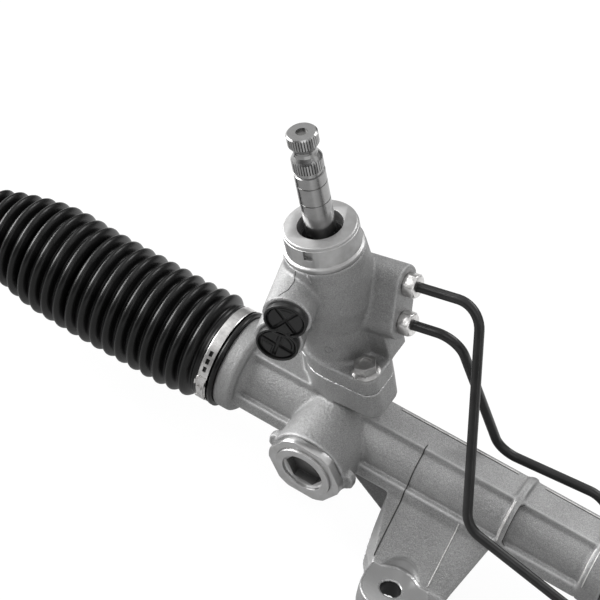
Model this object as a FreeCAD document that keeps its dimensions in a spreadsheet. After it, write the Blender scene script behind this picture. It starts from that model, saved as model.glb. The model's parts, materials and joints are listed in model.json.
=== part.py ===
import FreeCAD, Part
import math
import os
import re
import Sketcher
from FreeCAD import Placement, Rotation, Vector

# A hydraulic rack and pinion steering gear: a cast housing with two mounting feet,
# a slanted pinion under a rotary valve tower, a rack with a hydraulic piston in a
# steel cylinder, two ball jointed tie rods under rubber bellows, and two steel lines.
# Origin: the bore of the pinion-side foot, on the face that lies on the crossmember.
# X runs along the rack, Y away from the pressure ports, Z up along the foot's bolt.

doc = FreeCAD.newDocument("steering_rack")

# Driving dimensions, in millimetres and degrees
SIZES = [
    ("datum_along", 82.2, "foot bore to the yoke axis, along the rack"),
    ("datum_back", 59.8, "foot bore to the rack axis, front to back"),
    ("datum_height", 66.0, "foot seat to the rack axis"),
    ("yoke_tilt", 15.5, "lean of the tooth plane towards the front"),
    ("pinion_tilt", 16.0, "lean of the pinion along the rack"),
    ("tooth_module", 2.0, "normal module of rack and pinion"),
    ("pinion_teeth", 8, "teeth on the pinion"),
    ("pressure_angle", 20.0, "normal pressure angle"),
    ("pinion_shift", 1.0, "profile shift of the pinion"),
    ("pinion_tip_r", 11.0, "pinion tip radius"),
    ("pinion_face", 26.0, "length of the pinion teeth"),
    ("rack_reference", 7.05, "rack axis to the pitch line of its teeth"),
    ("rack_teeth", 27, "gaps cut in the rack"),
    ("tooth_backlash", 0.16, "play along the pitch line"),
    ("rack_r", 13.0, "rack bar radius"),
    ("rack_travel", 74.0, "rack travel each way"),
    ("fit_gap", 0.05, "radial clearance of a running fit"),
    ("seat_gap", 0.3, "clearance of a loose seat"),
    ("tube_r", 22.0, "cast tube radius"),
    ("rack_bore_r", 17.0, "bore of the cast tube"),
    ("housing_left", 95.0, "yoke axis to the left end of the housing"),
    ("boot_seat_r", 30.3, "seat of the bellows on the housing"),
    ("boot_seat_len", 14.0, "length of the bellows seat"),
    ("big_end_r", 32.3, "shoulder behind the bellows seat"),
    ("big_end_len", 13.0, "length of the shoulder"),
    ("big_end_bore_r", 25.0, "open bore at the housing end"),
    ("big_end_bore_len", 22.0, "depth of the open bore"),
    ("strip_half", 12.6, "half width of the top strip"),
    ("strip_top", 22.9, "height of the top strip"),
    ("rib_front", 25.5, "reach of the lower rib"),
    ("rib_top", 4.5, "upper edge of the lower rib below the axis"),
    ("rib_low", 14.0, "lower edge of the lower rib below the axis"),
    ("ring_rib_r", 26.6, "radius of the ring ribs"),
    ("ring_rib_width", 5.0, "width of a ring rib"),
    ("ring_rib_at", 125.0, "yoke axis to the first ring rib"),
    ("socket_at", 183.0, "yoke axis to the cylinder socket"),
    ("socket_len", 14.0, "length of the cylinder socket"),
    ("socket_r", 27.5, "outer radius of the cylinder socket"),
    ("cylinder_depth", 8.0, "insertion of the cylinder in its sockets"),
    ("cylinder_r", 22.0, "outer radius of the steel cylinder"),
    ("cylinder_bore_r", 19.0, "bore of the steel cylinder"),
    ("cylinder_len", 241.0, "length of the steel cylinder"),
    ("end_len", 66.0, "length of the end housing"),
    ("yoke_bore_r", 16.5, "bore of the rack guide"),
    ("yoke_boss_r", 26.5, "outer radius of the yoke boss"),
    ("yoke_boss_reach", 43.5, "rack axis to the face of the yoke boss"),
    ("yoke_nut_thick", 6.0, "thickness of the yoke lock nut"),
    ("yoke_nut_flats", 49.0, "across flats of the yoke lock nut"),
    ("yoke_plug_r", 19.8, "radius of the yoke plug"),
    ("yoke_plug_out", 1.5, "yoke plug beyond its nut"),
    ("yoke_plug_len", 12.0, "length of the yoke plug"),
    ("yoke_socket_flats", 24.0, "hexagon socket in the yoke plug"),
    ("yoke_socket_r", 14.8, "counterbore in the yoke plug"),
    ("yoke_len", 24.0, "length of the rack yoke"),
    ("yoke_near", 8.0, "rack axis to the near face of the yoke"),
    ("yoke_pocket", 3.0, "depth of the spring pocket in the yoke"),
    ("liner_thick", 1.0, "thickness of the yoke liner"),
    ("spring_r", 11.5, "outer radius of the disc springs"),
    ("spring_bore_r", 6.0, "bore of the disc springs"),
    ("spring_thick", 1.4, "thickness of a disc spring"),
    ("flange_top", 60.0, "pinion datum to the top of the valve flange"),
    ("flange_thick", 12.0, "thickness of the valve flange"),
    ("neck_r", 25.0, "radius of the pinion neck"),
    ("neck_low", 6.0, "pinion datum to the foot of the pinion neck"),
    ("pad_low", 28.0, "pinion datum to the underside of the pad on the neck"),
    ("flange_round_r", 26.0, "round part of the valve flange"),
    ("flange_half_along", 38.5, "half length of the valve flange"),
    ("flange_half_across", 30.5, "half width of the valve flange"),
    ("flange_corner", 8.0, "corner radius of the valve flange"),
    ("gusset_back", 14.0, "pinion axis to the back of the tower gusset"),
    ("gusset_wide", 19.0, "width of the tower gusset"),
    ("bolt_along", 29.6, "valve bolt from the pinion axis, along"),
    ("bolt_across", 20.5, "valve bolt from the pinion axis, across"),
    ("bolt_r", 4.0, "valve bolt shank radius"),
    ("bolt_flange_r", 9.3, "valve bolt flange radius"),
    ("bolt_head_flats", 13.0, "valve bolt head across flats"),
    ("bolt_head", 8.0, "valve bolt head height with flange"),
    ("bolt_len", 26.0, "valve bolt length under the head"),
    ("tower_r", 27.0, "radius of the valve tower"),
    ("tower_waist_r", 24.5, "radius of the tower above its flange"),
    ("tower_top", 137.0, "pinion datum to the top of the valve tower"),
    ("sleeve_bore_r", 19.0, "bore of the valve tower"),
    ("sleeve_bore_low", 65.5, "pinion datum to the start of the sleeve bore"),
    ("sleeve_bore_top", 125.5, "pinion datum to the end of the sleeve bore"),
    ("pinion_bore_r", 12.0, "bore round the upper journal of the pinion"),
    ("bearing_r", 15.0, "outer radius of the lower bearing"),
    ("bearing_bore_r", 6.4, "bore of the lower bearing"),
    ("bearing_width", 9.0, "width of the lower bearing"),
    ("bearing_top", 18.0, "pinion datum down to the lower bearing"),
    ("bush_low", 22.0, "pinion datum to the foot of the upper bush"),
    ("bush_top", 36.0, "pinion datum to the top of the upper bush"),
    ("bolt_nook", 15.5, "height of the scallops over the valve bolts"),
    ("bolt_nook_r", 11.0, "radius of the scallops over the valve bolts"),
    ("seal_bore_r", 14.2, "bore over the valve sleeve and in the collar"),
    ("collar_flange_r", 25.0, "radius of the collar foot"),
    ("collar_r", 23.4, "radius of the collar"),
    ("collar_top", 155.3, "pinion datum to the top of the collar"),
    ("collar_step", 4.6, "depth of the collar's upper step"),
    ("shaft_r", 9.5, "radius of the input shaft"),
    ("shaft_top", 225.0, "pinion datum to the tip of the input shaft"),
    ("spline_long", 7.5, "length of the upper spline band"),
    ("groove_long", 11.0, "length of the clamp bolt groove"),
    ("spline_low", 6.5, "length of the lower spline band"),
    ("groove_r", 7.0, "radius of the clamp bolt groove"),
    ("spline_teeth", 36, "splines on the input shaft"),
    ("spline_depth", 0.75, "depth of the splines"),
    ("torsion_bar_r", 3.4, "radius of the torsion bar"),
    ("sleeve_low", 70.0, "pinion datum to the foot of the valve sleeve"),
    ("sleeve_top", 123.0, "pinion datum to the top of the valve sleeve"),
    ("spool_r", 11.5, "radius of the rotary valve spool"),
    ("journal_r", 9.5, "radius of the pinion journals"),
    ("port_turn", 16.4, "turn of the pressure ports about the pinion"),
    ("port_reach", 42.0, "pinion axis to the face of the pressure ports"),
    ("port_boss_r", 15.5, "radius of the pressure port bosses"),
    ("port_r", 8.0, "bore radius of the pressure ports"),
    ("port_high_side", -15.4, "upper pressure port, sideways"),
    ("port_high", 116.4, "upper pressure port, height"),
    ("port_low_side", -24.2, "lower pressure port, sideways"),
    ("port_low", 95.8, "lower pressure port, height"),
    ("port_depth", 16.0, "depth of the wide port bore"),
    ("port_cap_r", 13.6, "radius of the shipping plug caps"),
    ("port_cap_thick", 4.0, "thickness of the shipping plug"),
    ("line_reach", 44.5, "pinion axis to the face of the line ports"),
    ("line_boss_r", 12.0, "radius of the line port bosses"),
    ("line_high_back", 16.0, "upper line port, front to back"),
    ("line_high", 108.4, "upper line port, height"),
    ("line_low_back", 4.7, "lower line port, front to back"),
    ("line_low", 86.4, "lower line port, height"),
    ("pipe_r", 3.175, "radius of the steel lines"),
    ("pipe_bend", 17.0, "bend radius of the steel lines"),
    ("nut_flats", 14.0, "across flats of the line nuts"),
    ("nut_head", 8.0, "length of the line nuts outside the port"),
    ("nut_thread_r", 6.0, "thread radius of the line nuts"),
    ("nut_thread_len", 8.0, "thread length of the line nuts"),
    ("foot_bore_r", 6.9, "bore of the mounting feet"),
    ("foot_spot_r", 19.0, "radius of the spot face"),
    ("foot_thick", 14.0, "thickness of the mounting feet"),
    ("foot_nose_r", 20.0, "nose radius of the mounting feet"),
    ("foot_slope", 0.39, "forward lean of the leg"),
    ("leg_thick", 13.0, "thickness of the leg"),
    ("foot_inset", 25.2, "start of the end housing to the far foot bore"),
    ("web_left", 6.5, "root of the web inside the flank of the yoke boss"),
    ("web_tip", 2.5, "fall of the web below the lower rib at that root"),
    ("web_end", 26.0, "foot bore to the end of the web inside the leg"),
    ("web_back", 12.0, "front of the rib to the back of the web"),
    ("web_thick", 8.0, "thickness of the web"),
    ("web_drop", 24.4, "fall of the web below the lower rib"),
    ("boot_crest_r", 38.3, "first crest of the bellows"),
    ("boot_crest_big_r", 40.5, "largest crest of the bellows"),
    ("boot_crest_small_r", 27.0, "smallest crest of the bellows"),
    ("boot_swell", 5, "folds from the cuff to the largest crest"),
    ("boot_fold", 7.5, "depth of the bellows folds"),
    ("boot_pitch", 9.2, "pitch of the bellows"),
    ("boot_folds", 22, "folds of the bellows"),
    ("boot_wall", 2.2, "wall of the bellows"),
    ("boot_cuff_r", 33.0, "outer radius of the bellows cuff"),
    ("boot_lip_r", 34.4, "outer radius of the cuff lip"),
    ("boot_neck_len", 14.0, "length of the bellows neck"),
    ("band_width", 6.4, "width of the large clamp"),
    ("band_thick", 0.8, "thickness of the large clamp"),
    ("clip_width", 6.0, "width of the small clamp"),
    ("ball_out", 95.0, "housing end to the ball centre"),
    ("ball_r", 13.5, "radius of the tie rod ball"),
    ("seat_r", 16.5, "outer radius of the ball seat"),
    ("socket_wall_r", 20.5, "outer radius of the ball housing"),
    ("socket_stud_r", 8.0, "thread radius of the ball housing"),
    ("socket_stud_len", 18.0, "thread length of the ball housing"),
    ("ball_neck_r", 6.4, "radius of the rod's neck"),
    ("rod_r", 7.6, "radius of the tie rod"),
    ("rod_len", 236.0, "ball centre to the end of the tie rod"),
    ("rod_thread_len", 62.0, "length of the rod's thread"),
    ("rod_thread_r", 7.0, "radius of the rod's thread"),
    ("jam_flats", 22.0, "across flats of the jam nut"),
    ("inner_seal_before", 8.0, "inner rack seal ahead of the cylinder socket"),
    ("jam_thick", 10.0, "thickness of the jam nut"),
    ("jam_step", 0.3, "rod under the jam nut, smaller than its free thread"),
    ("jam_at", 3.0, "start of the rod's thread to the jam nut"),
    ("jam_run", 16.0, "stretch of the rod that carries the jam nut"),
    ("bush_len", 10.0, "length of the rack bushing"),
    ("near_port_before", 0.4, "near line port ahead of the cylinder socket"),
    ("near_port_back", 26.0, "rack axis to the near line port, front to back"),
    ("near_port_up", 12.3, "rack axis up to the near line port"),
    ("far_port_in", 23.0, "start of the end housing to the far line port"),
    ("far_port_front", 28.5, "rack axis to the far line port, towards the front"),
    ("far_port_down", 10.0, "rack axis down to the far line port"),
    ("line_upper_out", 50.5, "upper line, straight run out of its port"),
    ("line_lower_out", 39.0, "lower line, straight run out of its port"),
    ("front_line_at", 109.0, "yoke axis to the front line's bend over the tube"),
    ("front_line_reach", 42.0, "rack axis to the front line"),
    ("front_line_up", 9.7, "rack axis up to the front line's bend"),
    ("front_line_beyond", 18.0, "cylinder socket to the front line's lower bend"),
    ("back_line_at", 98.0, "yoke axis to the back line's bend"),
    ("back_line_up", 18.6, "rack axis up to the back line's bend"),
    ("line_stub", 20.0, "straight run of a line into its far port"),
]

NUMBER = {alias: float(value) for alias, value, note in SIZES}
sheet = doc.addObject("Spreadsheet::Sheet", "Sizes")
for line, (alias, value, note) in enumerate(SIZES, 1):
    sheet.set(f"A{line}", note)
    sheet.set(f"B{line}", str(value))
    sheet.setAlias(f"B{line}", alias)
doc.recompute()
for alias in NUMBER:
    NUMBER[alias] = float(sheet.get(alias))


def bound(formula):
    """The formula with every size read from the sheet."""
    return re.sub(r"[a-z][a-z_]+",
                  lambda word: "Sizes." * (word.group() in NUMBER) + word.group(), formula)


def number(formula):
    """The value of a formula of sizes."""
    return float(doc.getObject("Sizes").evalExpression(bound(formula)))


def radial(shape_size):
    return math.radians(NUMBER[shape_size])


# Frames: the rack, the yoke and the pinion
DATUM = Vector(-NUMBER["datum_along"], NUMBER["datum_back"], NUMBER["datum_height"])
LEAN = Rotation(Vector(1, 0, 0), NUMBER["yoke_tilt"])
PITCH_R = number("tooth_module * pinion_teeth / 2") / math.cos(radial("pinion_tilt"))
PINION_BACK = NUMBER["rack_reference"] + PITCH_R + NUMBER["pinion_shift"]
PINION_TURN = LEAN.multiply(Rotation(Vector(0, 1, 0), -NUMBER["pinion_tilt"]))
PINION_BASE = DATUM + LEAN.multVec(Vector(0, PINION_BACK, 0))
PINION = Placement(PINION_BASE, PINION_TURN)
TOOTHED = Placement(DATUM, LEAN)
FORWARD = Rotation(Vector(1, 0, 0), 90)
YOKE = Placement(DATUM, LEAN.multiply(FORWARD))


def on_rack(x=0.0, y=0.0, z=0.0, turn=None):
    return Placement(DATUM + Vector(x, y, z), turn or Rotation())


def on_pinion(x=0.0, y=0.0, z=0.0, turn=None):
    return PINION.multiply(Placement(Vector(x, y, z), turn or Rotation()))


def along_yoke(reach=0.0):
    return YOKE.multiply(Placement(Vector(0, 0, reach), Rotation()))


def towards(axis):
    """A turn that carries +Z onto the axis."""
    return Rotation(Vector(0, 0, 1), axis)


ALONG = towards(Vector(1, 0, 0))

# Building blocks


def origin_plane(body, role):
    return [plane for plane in body.Origin.OriginFeatures if plane.Role == role][0]


def outline(body, name, corners, role):
    """A closed outline of straight edges, each corner tied to the sheet."""
    sketch = body.newObject("Sketcher::SketchObject", name)
    sketch.AttachmentSupport = (origin_plane(body, role), "")
    sketch.MapMode = "FlatFace"
    points = [Vector(number(across), number(up), 0) for across, up in corners]
    count = len(points)
    for index in range(count):
        sketch.addGeometry(Part.LineSegment(points[index], points[(index + 1) % count]))
    for index in range(count):
        sketch.addConstraint(Sketcher.Constraint("Coincident", index, 2, (index + 1) % count, 1))
    for index, corner in enumerate(corners):
        for kind, formula, value in zip(("DistanceX", "DistanceY"), corner, points[index]):
            held = sketch.addConstraint(Sketcher.Constraint(kind, -1, 1, index, 1, value))
            sketch.setExpression(f"Constraints[{held}]", bound(formula))
    return sketch


def turned(name, corners, place):
    """A body turned about its Z axis from corners given as radius, height."""
    body = doc.addObject("PartDesign::Body", name)
    sketch = outline(body, name + "_profile", corners, "XZ_Plane")
    turn = body.newObject("PartDesign::Revolution", name + "_turn")
    turn.Profile = sketch
    turn.ReferenceAxis = (sketch, ["V_Axis"])
    turn.Angle = 360
    body.Placement = place
    return body


def padded(name, corners, thickness, place, role="XY_Plane", rounding=None):
    """A plate with the given outline; rounding softens its upright edges."""
    body = doc.addObject("PartDesign::Body", name)
    sketch = outline(body, name + "_outline", corners, role)
    pad = body.newObject("PartDesign::Pad", name + "_pad")
    pad.Profile = sketch
    pad.setExpression("Length", bound(thickness))
    if rounding:
        doc.recompute()
        upright = [f"Edge{index}" for index, edge in enumerate(pad.Shape.Edges, 1)
                   if edge.BoundBox.DiagonalLength > 0
                   and abs(edge.BoundBox.ZLength - edge.BoundBox.DiagonalLength) < 1e-6]
        fillet = body.newObject("PartDesign::Fillet", name + "_round")
        fillet.Base = (pad, upright)
        fillet.setExpression("Radius", bound(rounding))
    body.Placement = place
    return body


def rod(name, radius, length, place):
    """A plain cylinder from its place along Z."""
    cylinder = doc.addObject("Part::Cylinder", name)
    cylinder.setExpression("Radius", bound(radius))
    cylinder.setExpression("Height", bound(length))
    cylinder.Placement = place
    return cylinder


def block(name, length, width, height, place):
    box = doc.addObject("Part::Box", name)
    box.setExpression("Length", bound(length))
    box.setExpression("Width", bound(width))
    box.setExpression("Height", bound(height))
    box.Placement = place
    return box


def hexagon(name, flats, height, place):
    prism = doc.addObject("Part::Prism", name)
    prism.Polygon = 6
    prism.setExpression("Circumradius", bound(f"({flats}) / sqrt(3)"))
    prism.setExpression("Height", bound(height))
    prism.Placement = place
    return prism


def joined(name, pieces):
    fuse = doc.addObject("Part::MultiFuse", name)
    fuse.Shapes = pieces
    fuse.Refine = True
    return fuse


def less(name, base, tools):
    """The base with each tool taken away in turn."""
    for index, tool in enumerate(tools, 1):
        last = index == len(tools)
        cut = doc.addObject("Part::Cut", name if last else f"{name}_less_{index}")
        cut.Base = base
        cut.Tool = tool
        cut.Refine = last
        base = cut
    return base


def shared(name, pieces):
    common = doc.addObject("Part::MultiCommon", name)
    common.Shapes = pieces
    return common


NODES = []


def node(label, item):
    item.Label = label
    NODES.append(item)
    return item


# The foot, its sloping leg and its spot face, cast with each housing


def leg(name, shift, left_top, right_top, left_low, right_low):
    """A leg leaning forward to a foot; its outline tapers from the tube to the bore."""
    bore_x = f"(datum_along + {shift})"
    low = "(0 - datum_height)"
    spot = "(foot_thick - datum_height)"
    lean = "(foot_slope * (datum_height - foot_thick - rib_low))"
    nose = "(0 - datum_back - foot_nose_r)"
    side = padded(name + "_side", [
        ("0 - rib_front + leg_thick", "0 - rib_top"), ("0 - rib_front", "0 - rib_top"),
        ("0 - rib_front", "0 - rib_low"), (f"0 - rib_front - {lean}", spot), (nose, spot),
        (nose, low), (f"0 - rib_front - {lean} + leg_thick", low),
        ("0 - rib_front + leg_thick", "0 - rib_low - leg_thick")],
        f"{right_top} - {left_top}",
        on_rack(number(f"{bore_x} + {left_top}"), 0, 0, Rotation(Vector(1, 1, 1), 120)))
    front = padded(name + "_front", [
        (f"{bore_x} + {left_top}", "0 - rib_top"), (f"{bore_x} + {right_top}", "0 - rib_top"),
        (f"{bore_x} + {right_top}", "0 - rib_low"), (f"{bore_x} + {right_low}", low),
        (f"{bore_x} + {left_low}", low), (f"{bore_x} + {left_top}", "0 - rib_low")],
        "datum_back + foot_nose_r", on_rack(), role="XZ_Plane")
    plan_flat = padded(name + "_plan", [
        (f"{bore_x} + {left_top}", "0"), (f"{bore_x} + {left_top}", "0 - rib_front - leg_thick"),
        (f"{bore_x} - foot_nose_r", "0 - datum_back"), (f"{bore_x} + foot_nose_r", "0 - datum_back"),
        (f"{bore_x} + {right_top}", "0 - rib_front - leg_thick"), (f"{bore_x} + {right_top}", "0")],
        "datum_height", on_rack(0, 0, -NUMBER["datum_height"]))
    plan_nose = rod(name + "_nose", "foot_nose_r", "datum_height",
                    on_rack(number(bore_x), -NUMBER["datum_back"], -NUMBER["datum_height"]))
    return shared(name + "_body", [side, front, joined(name + "_plan_all", [plan_flat, plan_nose])])


def foot_cuts(name, shift):
    place = on_rack(number(f"datum_along + {shift}"), -NUMBER["datum_back"], -NUMBER["datum_height"])
    bore = rod(name + "_bore", "foot_bore_r", "datum_height", place)
    above = place.multiply(Placement(Vector(0, 0, NUMBER["foot_thick"]), Rotation()))
    return [bore, rod(name + "_spot", "foot_spot_r", "datum_height - foot_thick", above)]


# The main casting


def flange_outline():
    """The valve flange: the same seen from either side of the pinion."""
    half = [("0 - 2", "0 - flange_round_r - 0.5"), ("flange_half_along", "0 - flange_half_across"),
            ("flange_half_along", "0 - flange_half_across * 0.16"), ("flange_round_r", "flange_half_across * 0.4")]
    return half + [(f"0 - ({along})", f"0 - ({across})") for along, across in half]


def rack_housing():
    big_end = turned("big_end", [
        ("0", "0"), ("boot_seat_r", "0"), ("boot_seat_r", "boot_seat_len"),
        ("big_end_r", "boot_seat_len"), ("big_end_r", "boot_seat_len + big_end_len - 3"),
        ("big_end_r - 3", "boot_seat_len + big_end_len"), ("tube_r + 4", "boot_seat_len + big_end_len"),
        ("tube_r", "boot_seat_len + big_end_len + 4"), ("tube_r", "housing_left + socket_at - 1.5"),
        ("socket_r", "housing_left + socket_at"),
        ("socket_r", "housing_left + socket_at + socket_len"),
        ("0", "housing_left + socket_at + socket_len")],
        on_rack(-NUMBER["housing_left"], 0, 0, ALONG))
    ribs = "housing_left - boot_seat_len - big_end_len + socket_at"
    rib_start = number("boot_seat_len + big_end_len - housing_left")
    top_strip = block("top_strip", ribs, "strip_half * 2", "strip_top",
                      on_rack(rib_start, -NUMBER["strip_half"], 0))
    low_rib = block("low_rib", ribs, "rib_front", "rib_low - rib_top",
                    on_rack(rib_start, -NUMBER["rib_front"], -NUMBER["rib_low"]))
    back_rib = block("back_rib", ribs, "rib_front", "rib_low - rib_top",
                     on_rack(rib_start, 0, -NUMBER["rib_low"]))
    ring_rib = rod("ring_rib", "ring_rib_r", "ring_rib_width", on_rack(NUMBER["ring_rib_at"], 0, 0, ALONG))
    yoke_boss = rod("yoke_boss", "yoke_boss_r", "yoke_boss_reach", along_yoke())
    pad = padded("neck_pad", flange_outline(), "flange_top - flange_thick - pad_low",
                 on_pinion(0, 0, NUMBER["pad_low"]), rounding="flange_corner")
    neck = turned("pinion_neck", [
        ("0", "0 - 35"), ("19", "0 - 35"), ("21", "0 - 33"), ("21", "neck_low"), ("neck_r", "neck_low + 4"),
        ("neck_r", "pad_low"), ("flange_round_r", "pad_low + 1"), ("flange_round_r", "flange_top - flange_thick"),
        ("0", "flange_top - flange_thick")], PINION)
    web = padded("leg_web", [
        ("yoke_boss_r - web_left", "0 - rib_low + 1"), ("datum_along - web_end", "0 - rib_low + 1"),
        ("datum_along - web_end", "0 - rib_low - web_drop"),
        ("yoke_boss_r - web_left", "0 - rib_low - web_tip")],
        "web_thick", on_rack(0, number("web_back - rib_front"), 0), role="XZ_Plane")
    port = line_port_boss("near_port", *NEAR_PORT)
    casting = joined("casting", [big_end, top_strip, low_rib, back_rib, ring_rib, yoke_boss, neck, pad,
                                 web, port[0],
                                 leg("near_leg", "0", "(0 - 32)", "42", "(0 - 17)", "29")])
    bores = [
        rod("main_bore", "rack_bore_r", "housing_left + socket_at + socket_len",
            on_rack(-NUMBER["housing_left"], 0, 0, ALONG)),
        rod("open_end", "big_end_bore_r", "big_end_bore_len", on_rack(-NUMBER["housing_left"], 0, 0, ALONG)),
        rod("cylinder_seat", "cylinder_r + fit_gap", "cylinder_depth + seat_gap",
            on_rack(number("socket_at + socket_len - cylinder_depth - seat_gap"), 0, 0, ALONG)),
        rod("yoke_bore", "yoke_bore_r", "yoke_boss_reach + 1", along_yoke()),
        rod("yoke_thread", "yoke_plug_r + fit_gap", "yoke_plug_len + seat_gap",
            along_yoke(number("yoke_boss_reach + yoke_nut_thick + yoke_plug_out - yoke_plug_len - seat_gap"))),
        rod("pinion_bore", "pinion_bore_r + fit_gap", "flange_top + 36", on_pinion(0, 0, -36)),
        rod("bearing_seat", "bearing_r + fit_gap", "36 - bearing_top", on_pinion(0, 0, -36)),
        rod("bolt_hole_front", "bolt_r + fit_gap", "bolt_len", on_pinion(
            NUMBER["bolt_along"], -NUMBER["bolt_across"], number("flange_top - bolt_len - 1"))),
        rod("bolt_hole_back", "bolt_r + fit_gap", "bolt_len", on_pinion(
            -NUMBER["bolt_along"], NUMBER["bolt_across"], number("flange_top - bolt_len - 1"))),
    ]
    return node("rack_housing", less("rack_housing", casting, bores + port[1:] + foot_cuts("near_foot", "0")))


# A line port: where its axis leaves the casting, which way it points, how deep it is
BACK_PORT_AXIS = Vector(-0.76, 0.0, 0.65)
NEAR_PORT = (on_rack(number("socket_at - near_port_before"), NUMBER["near_port_back"], NUMBER["near_port_up"],
                     towards(BACK_PORT_AXIS)), "14", "15")
FAR_START = "(socket_at + socket_len - cylinder_depth * 2 + cylinder_len)"
FAR_PORT_AXIS = Vector(-0.4, -0.9165, 0.0)
FAR_PORT = (on_rack(number(f"{FAR_START} + far_port_in"), -NUMBER["far_port_front"], -NUMBER["far_port_down"],
                    towards(FAR_PORT_AXIS)), "14", "17")
FAR_FOOT = f"({FAR_START} + foot_inset - datum_along)"


def line_port_boss(name, face, boss_length, bore_length):
    back = face.multiply(Placement(Vector(0, 0, -number(boss_length)), Rotation()))
    bore_end = face.multiply(Placement(Vector(0, 0, -number("nut_thread_len + 1")), Rotation()))
    drill_end = face.multiply(Placement(Vector(0, 0, -number(bore_length)), Rotation()))
    return [rod(name + "_boss", "line_boss_r - 2", boss_length, back),
            rod(name + "_spot", "line_boss_r - 2", "nut_head + 4", face),
            rod(name + "_bore", "nut_thread_r + fit_gap", "nut_thread_len + 2", bore_end),
            rod(name + "_drill", "2.5", bore_length, drill_end)]


def end_housing():
    start = number(FAR_START)
    barrel = turned("end_barrel", [
        ("0", "0"), ("socket_r - 2", "0"), ("socket_r", "2"), ("socket_r", "end_len - boot_seat_len - big_end_len"),
        ("big_end_r", "end_len - boot_seat_len - big_end_len + 5"), ("big_end_r", "end_len - boot_seat_len"),
        ("boot_seat_r", "end_len - boot_seat_len"), ("boot_seat_r", "end_len"), ("0", "end_len")],
        on_rack(start, 0, 0, ALONG))
    port = line_port_boss("far_port", *FAR_PORT)
    body = joined("end_casting", [barrel, port[0],
                                  leg("far_leg", FAR_FOOT, "(0 - 24)", "26", "(0 - 22)", "20")])
    bores = [
        rod("end_seat", "cylinder_r + fit_gap", "cylinder_depth + seat_gap", on_rack(start, 0, 0, ALONG)),
        rod("end_bore", "rack_bore_r", "end_len", on_rack(start, 0, 0, ALONG)),
        rod("end_open", "big_end_bore_r", "big_end_bore_len",
            on_rack(start + number("end_len - big_end_bore_len"), 0, 0, ALONG)),
    ]
    return node("end_housing", less("end_housing", body, bores + port[1:] + foot_cuts("far_foot", FAR_FOOT)))


def cylinder_tube():
    start = number("socket_at + socket_len - cylinder_depth")
    tube = turned("cylinder_tube", [
        ("cylinder_bore_r", "0"), ("cylinder_r", "0"), ("cylinder_r", "cylinder_len"),
        ("cylinder_bore_r", "cylinder_len")], on_rack(start, 0, 0, ALONG))
    return node("cylinder_tube", tube)


# Valve tower, bolted on the pinion neck


def port_place(side, height, reach):
    turn = Rotation(Vector(0, 0, 1), NUMBER["port_turn"]).multiply(FORWARD)
    local = Placement(Vector(0, 0, 0), turn).multiply(
        Placement(Vector(NUMBER[side], NUMBER[height], number(reach)), Rotation()))
    return PINION.multiply(local)


def line_place(back, height, reach):
    return on_pinion(number(reach), NUMBER[back], NUMBER[height], ALONG)


def bolt_place(sign, height):
    return on_pinion(sign * NUMBER["bolt_along"], -sign * NUMBER["bolt_across"], height)


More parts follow.
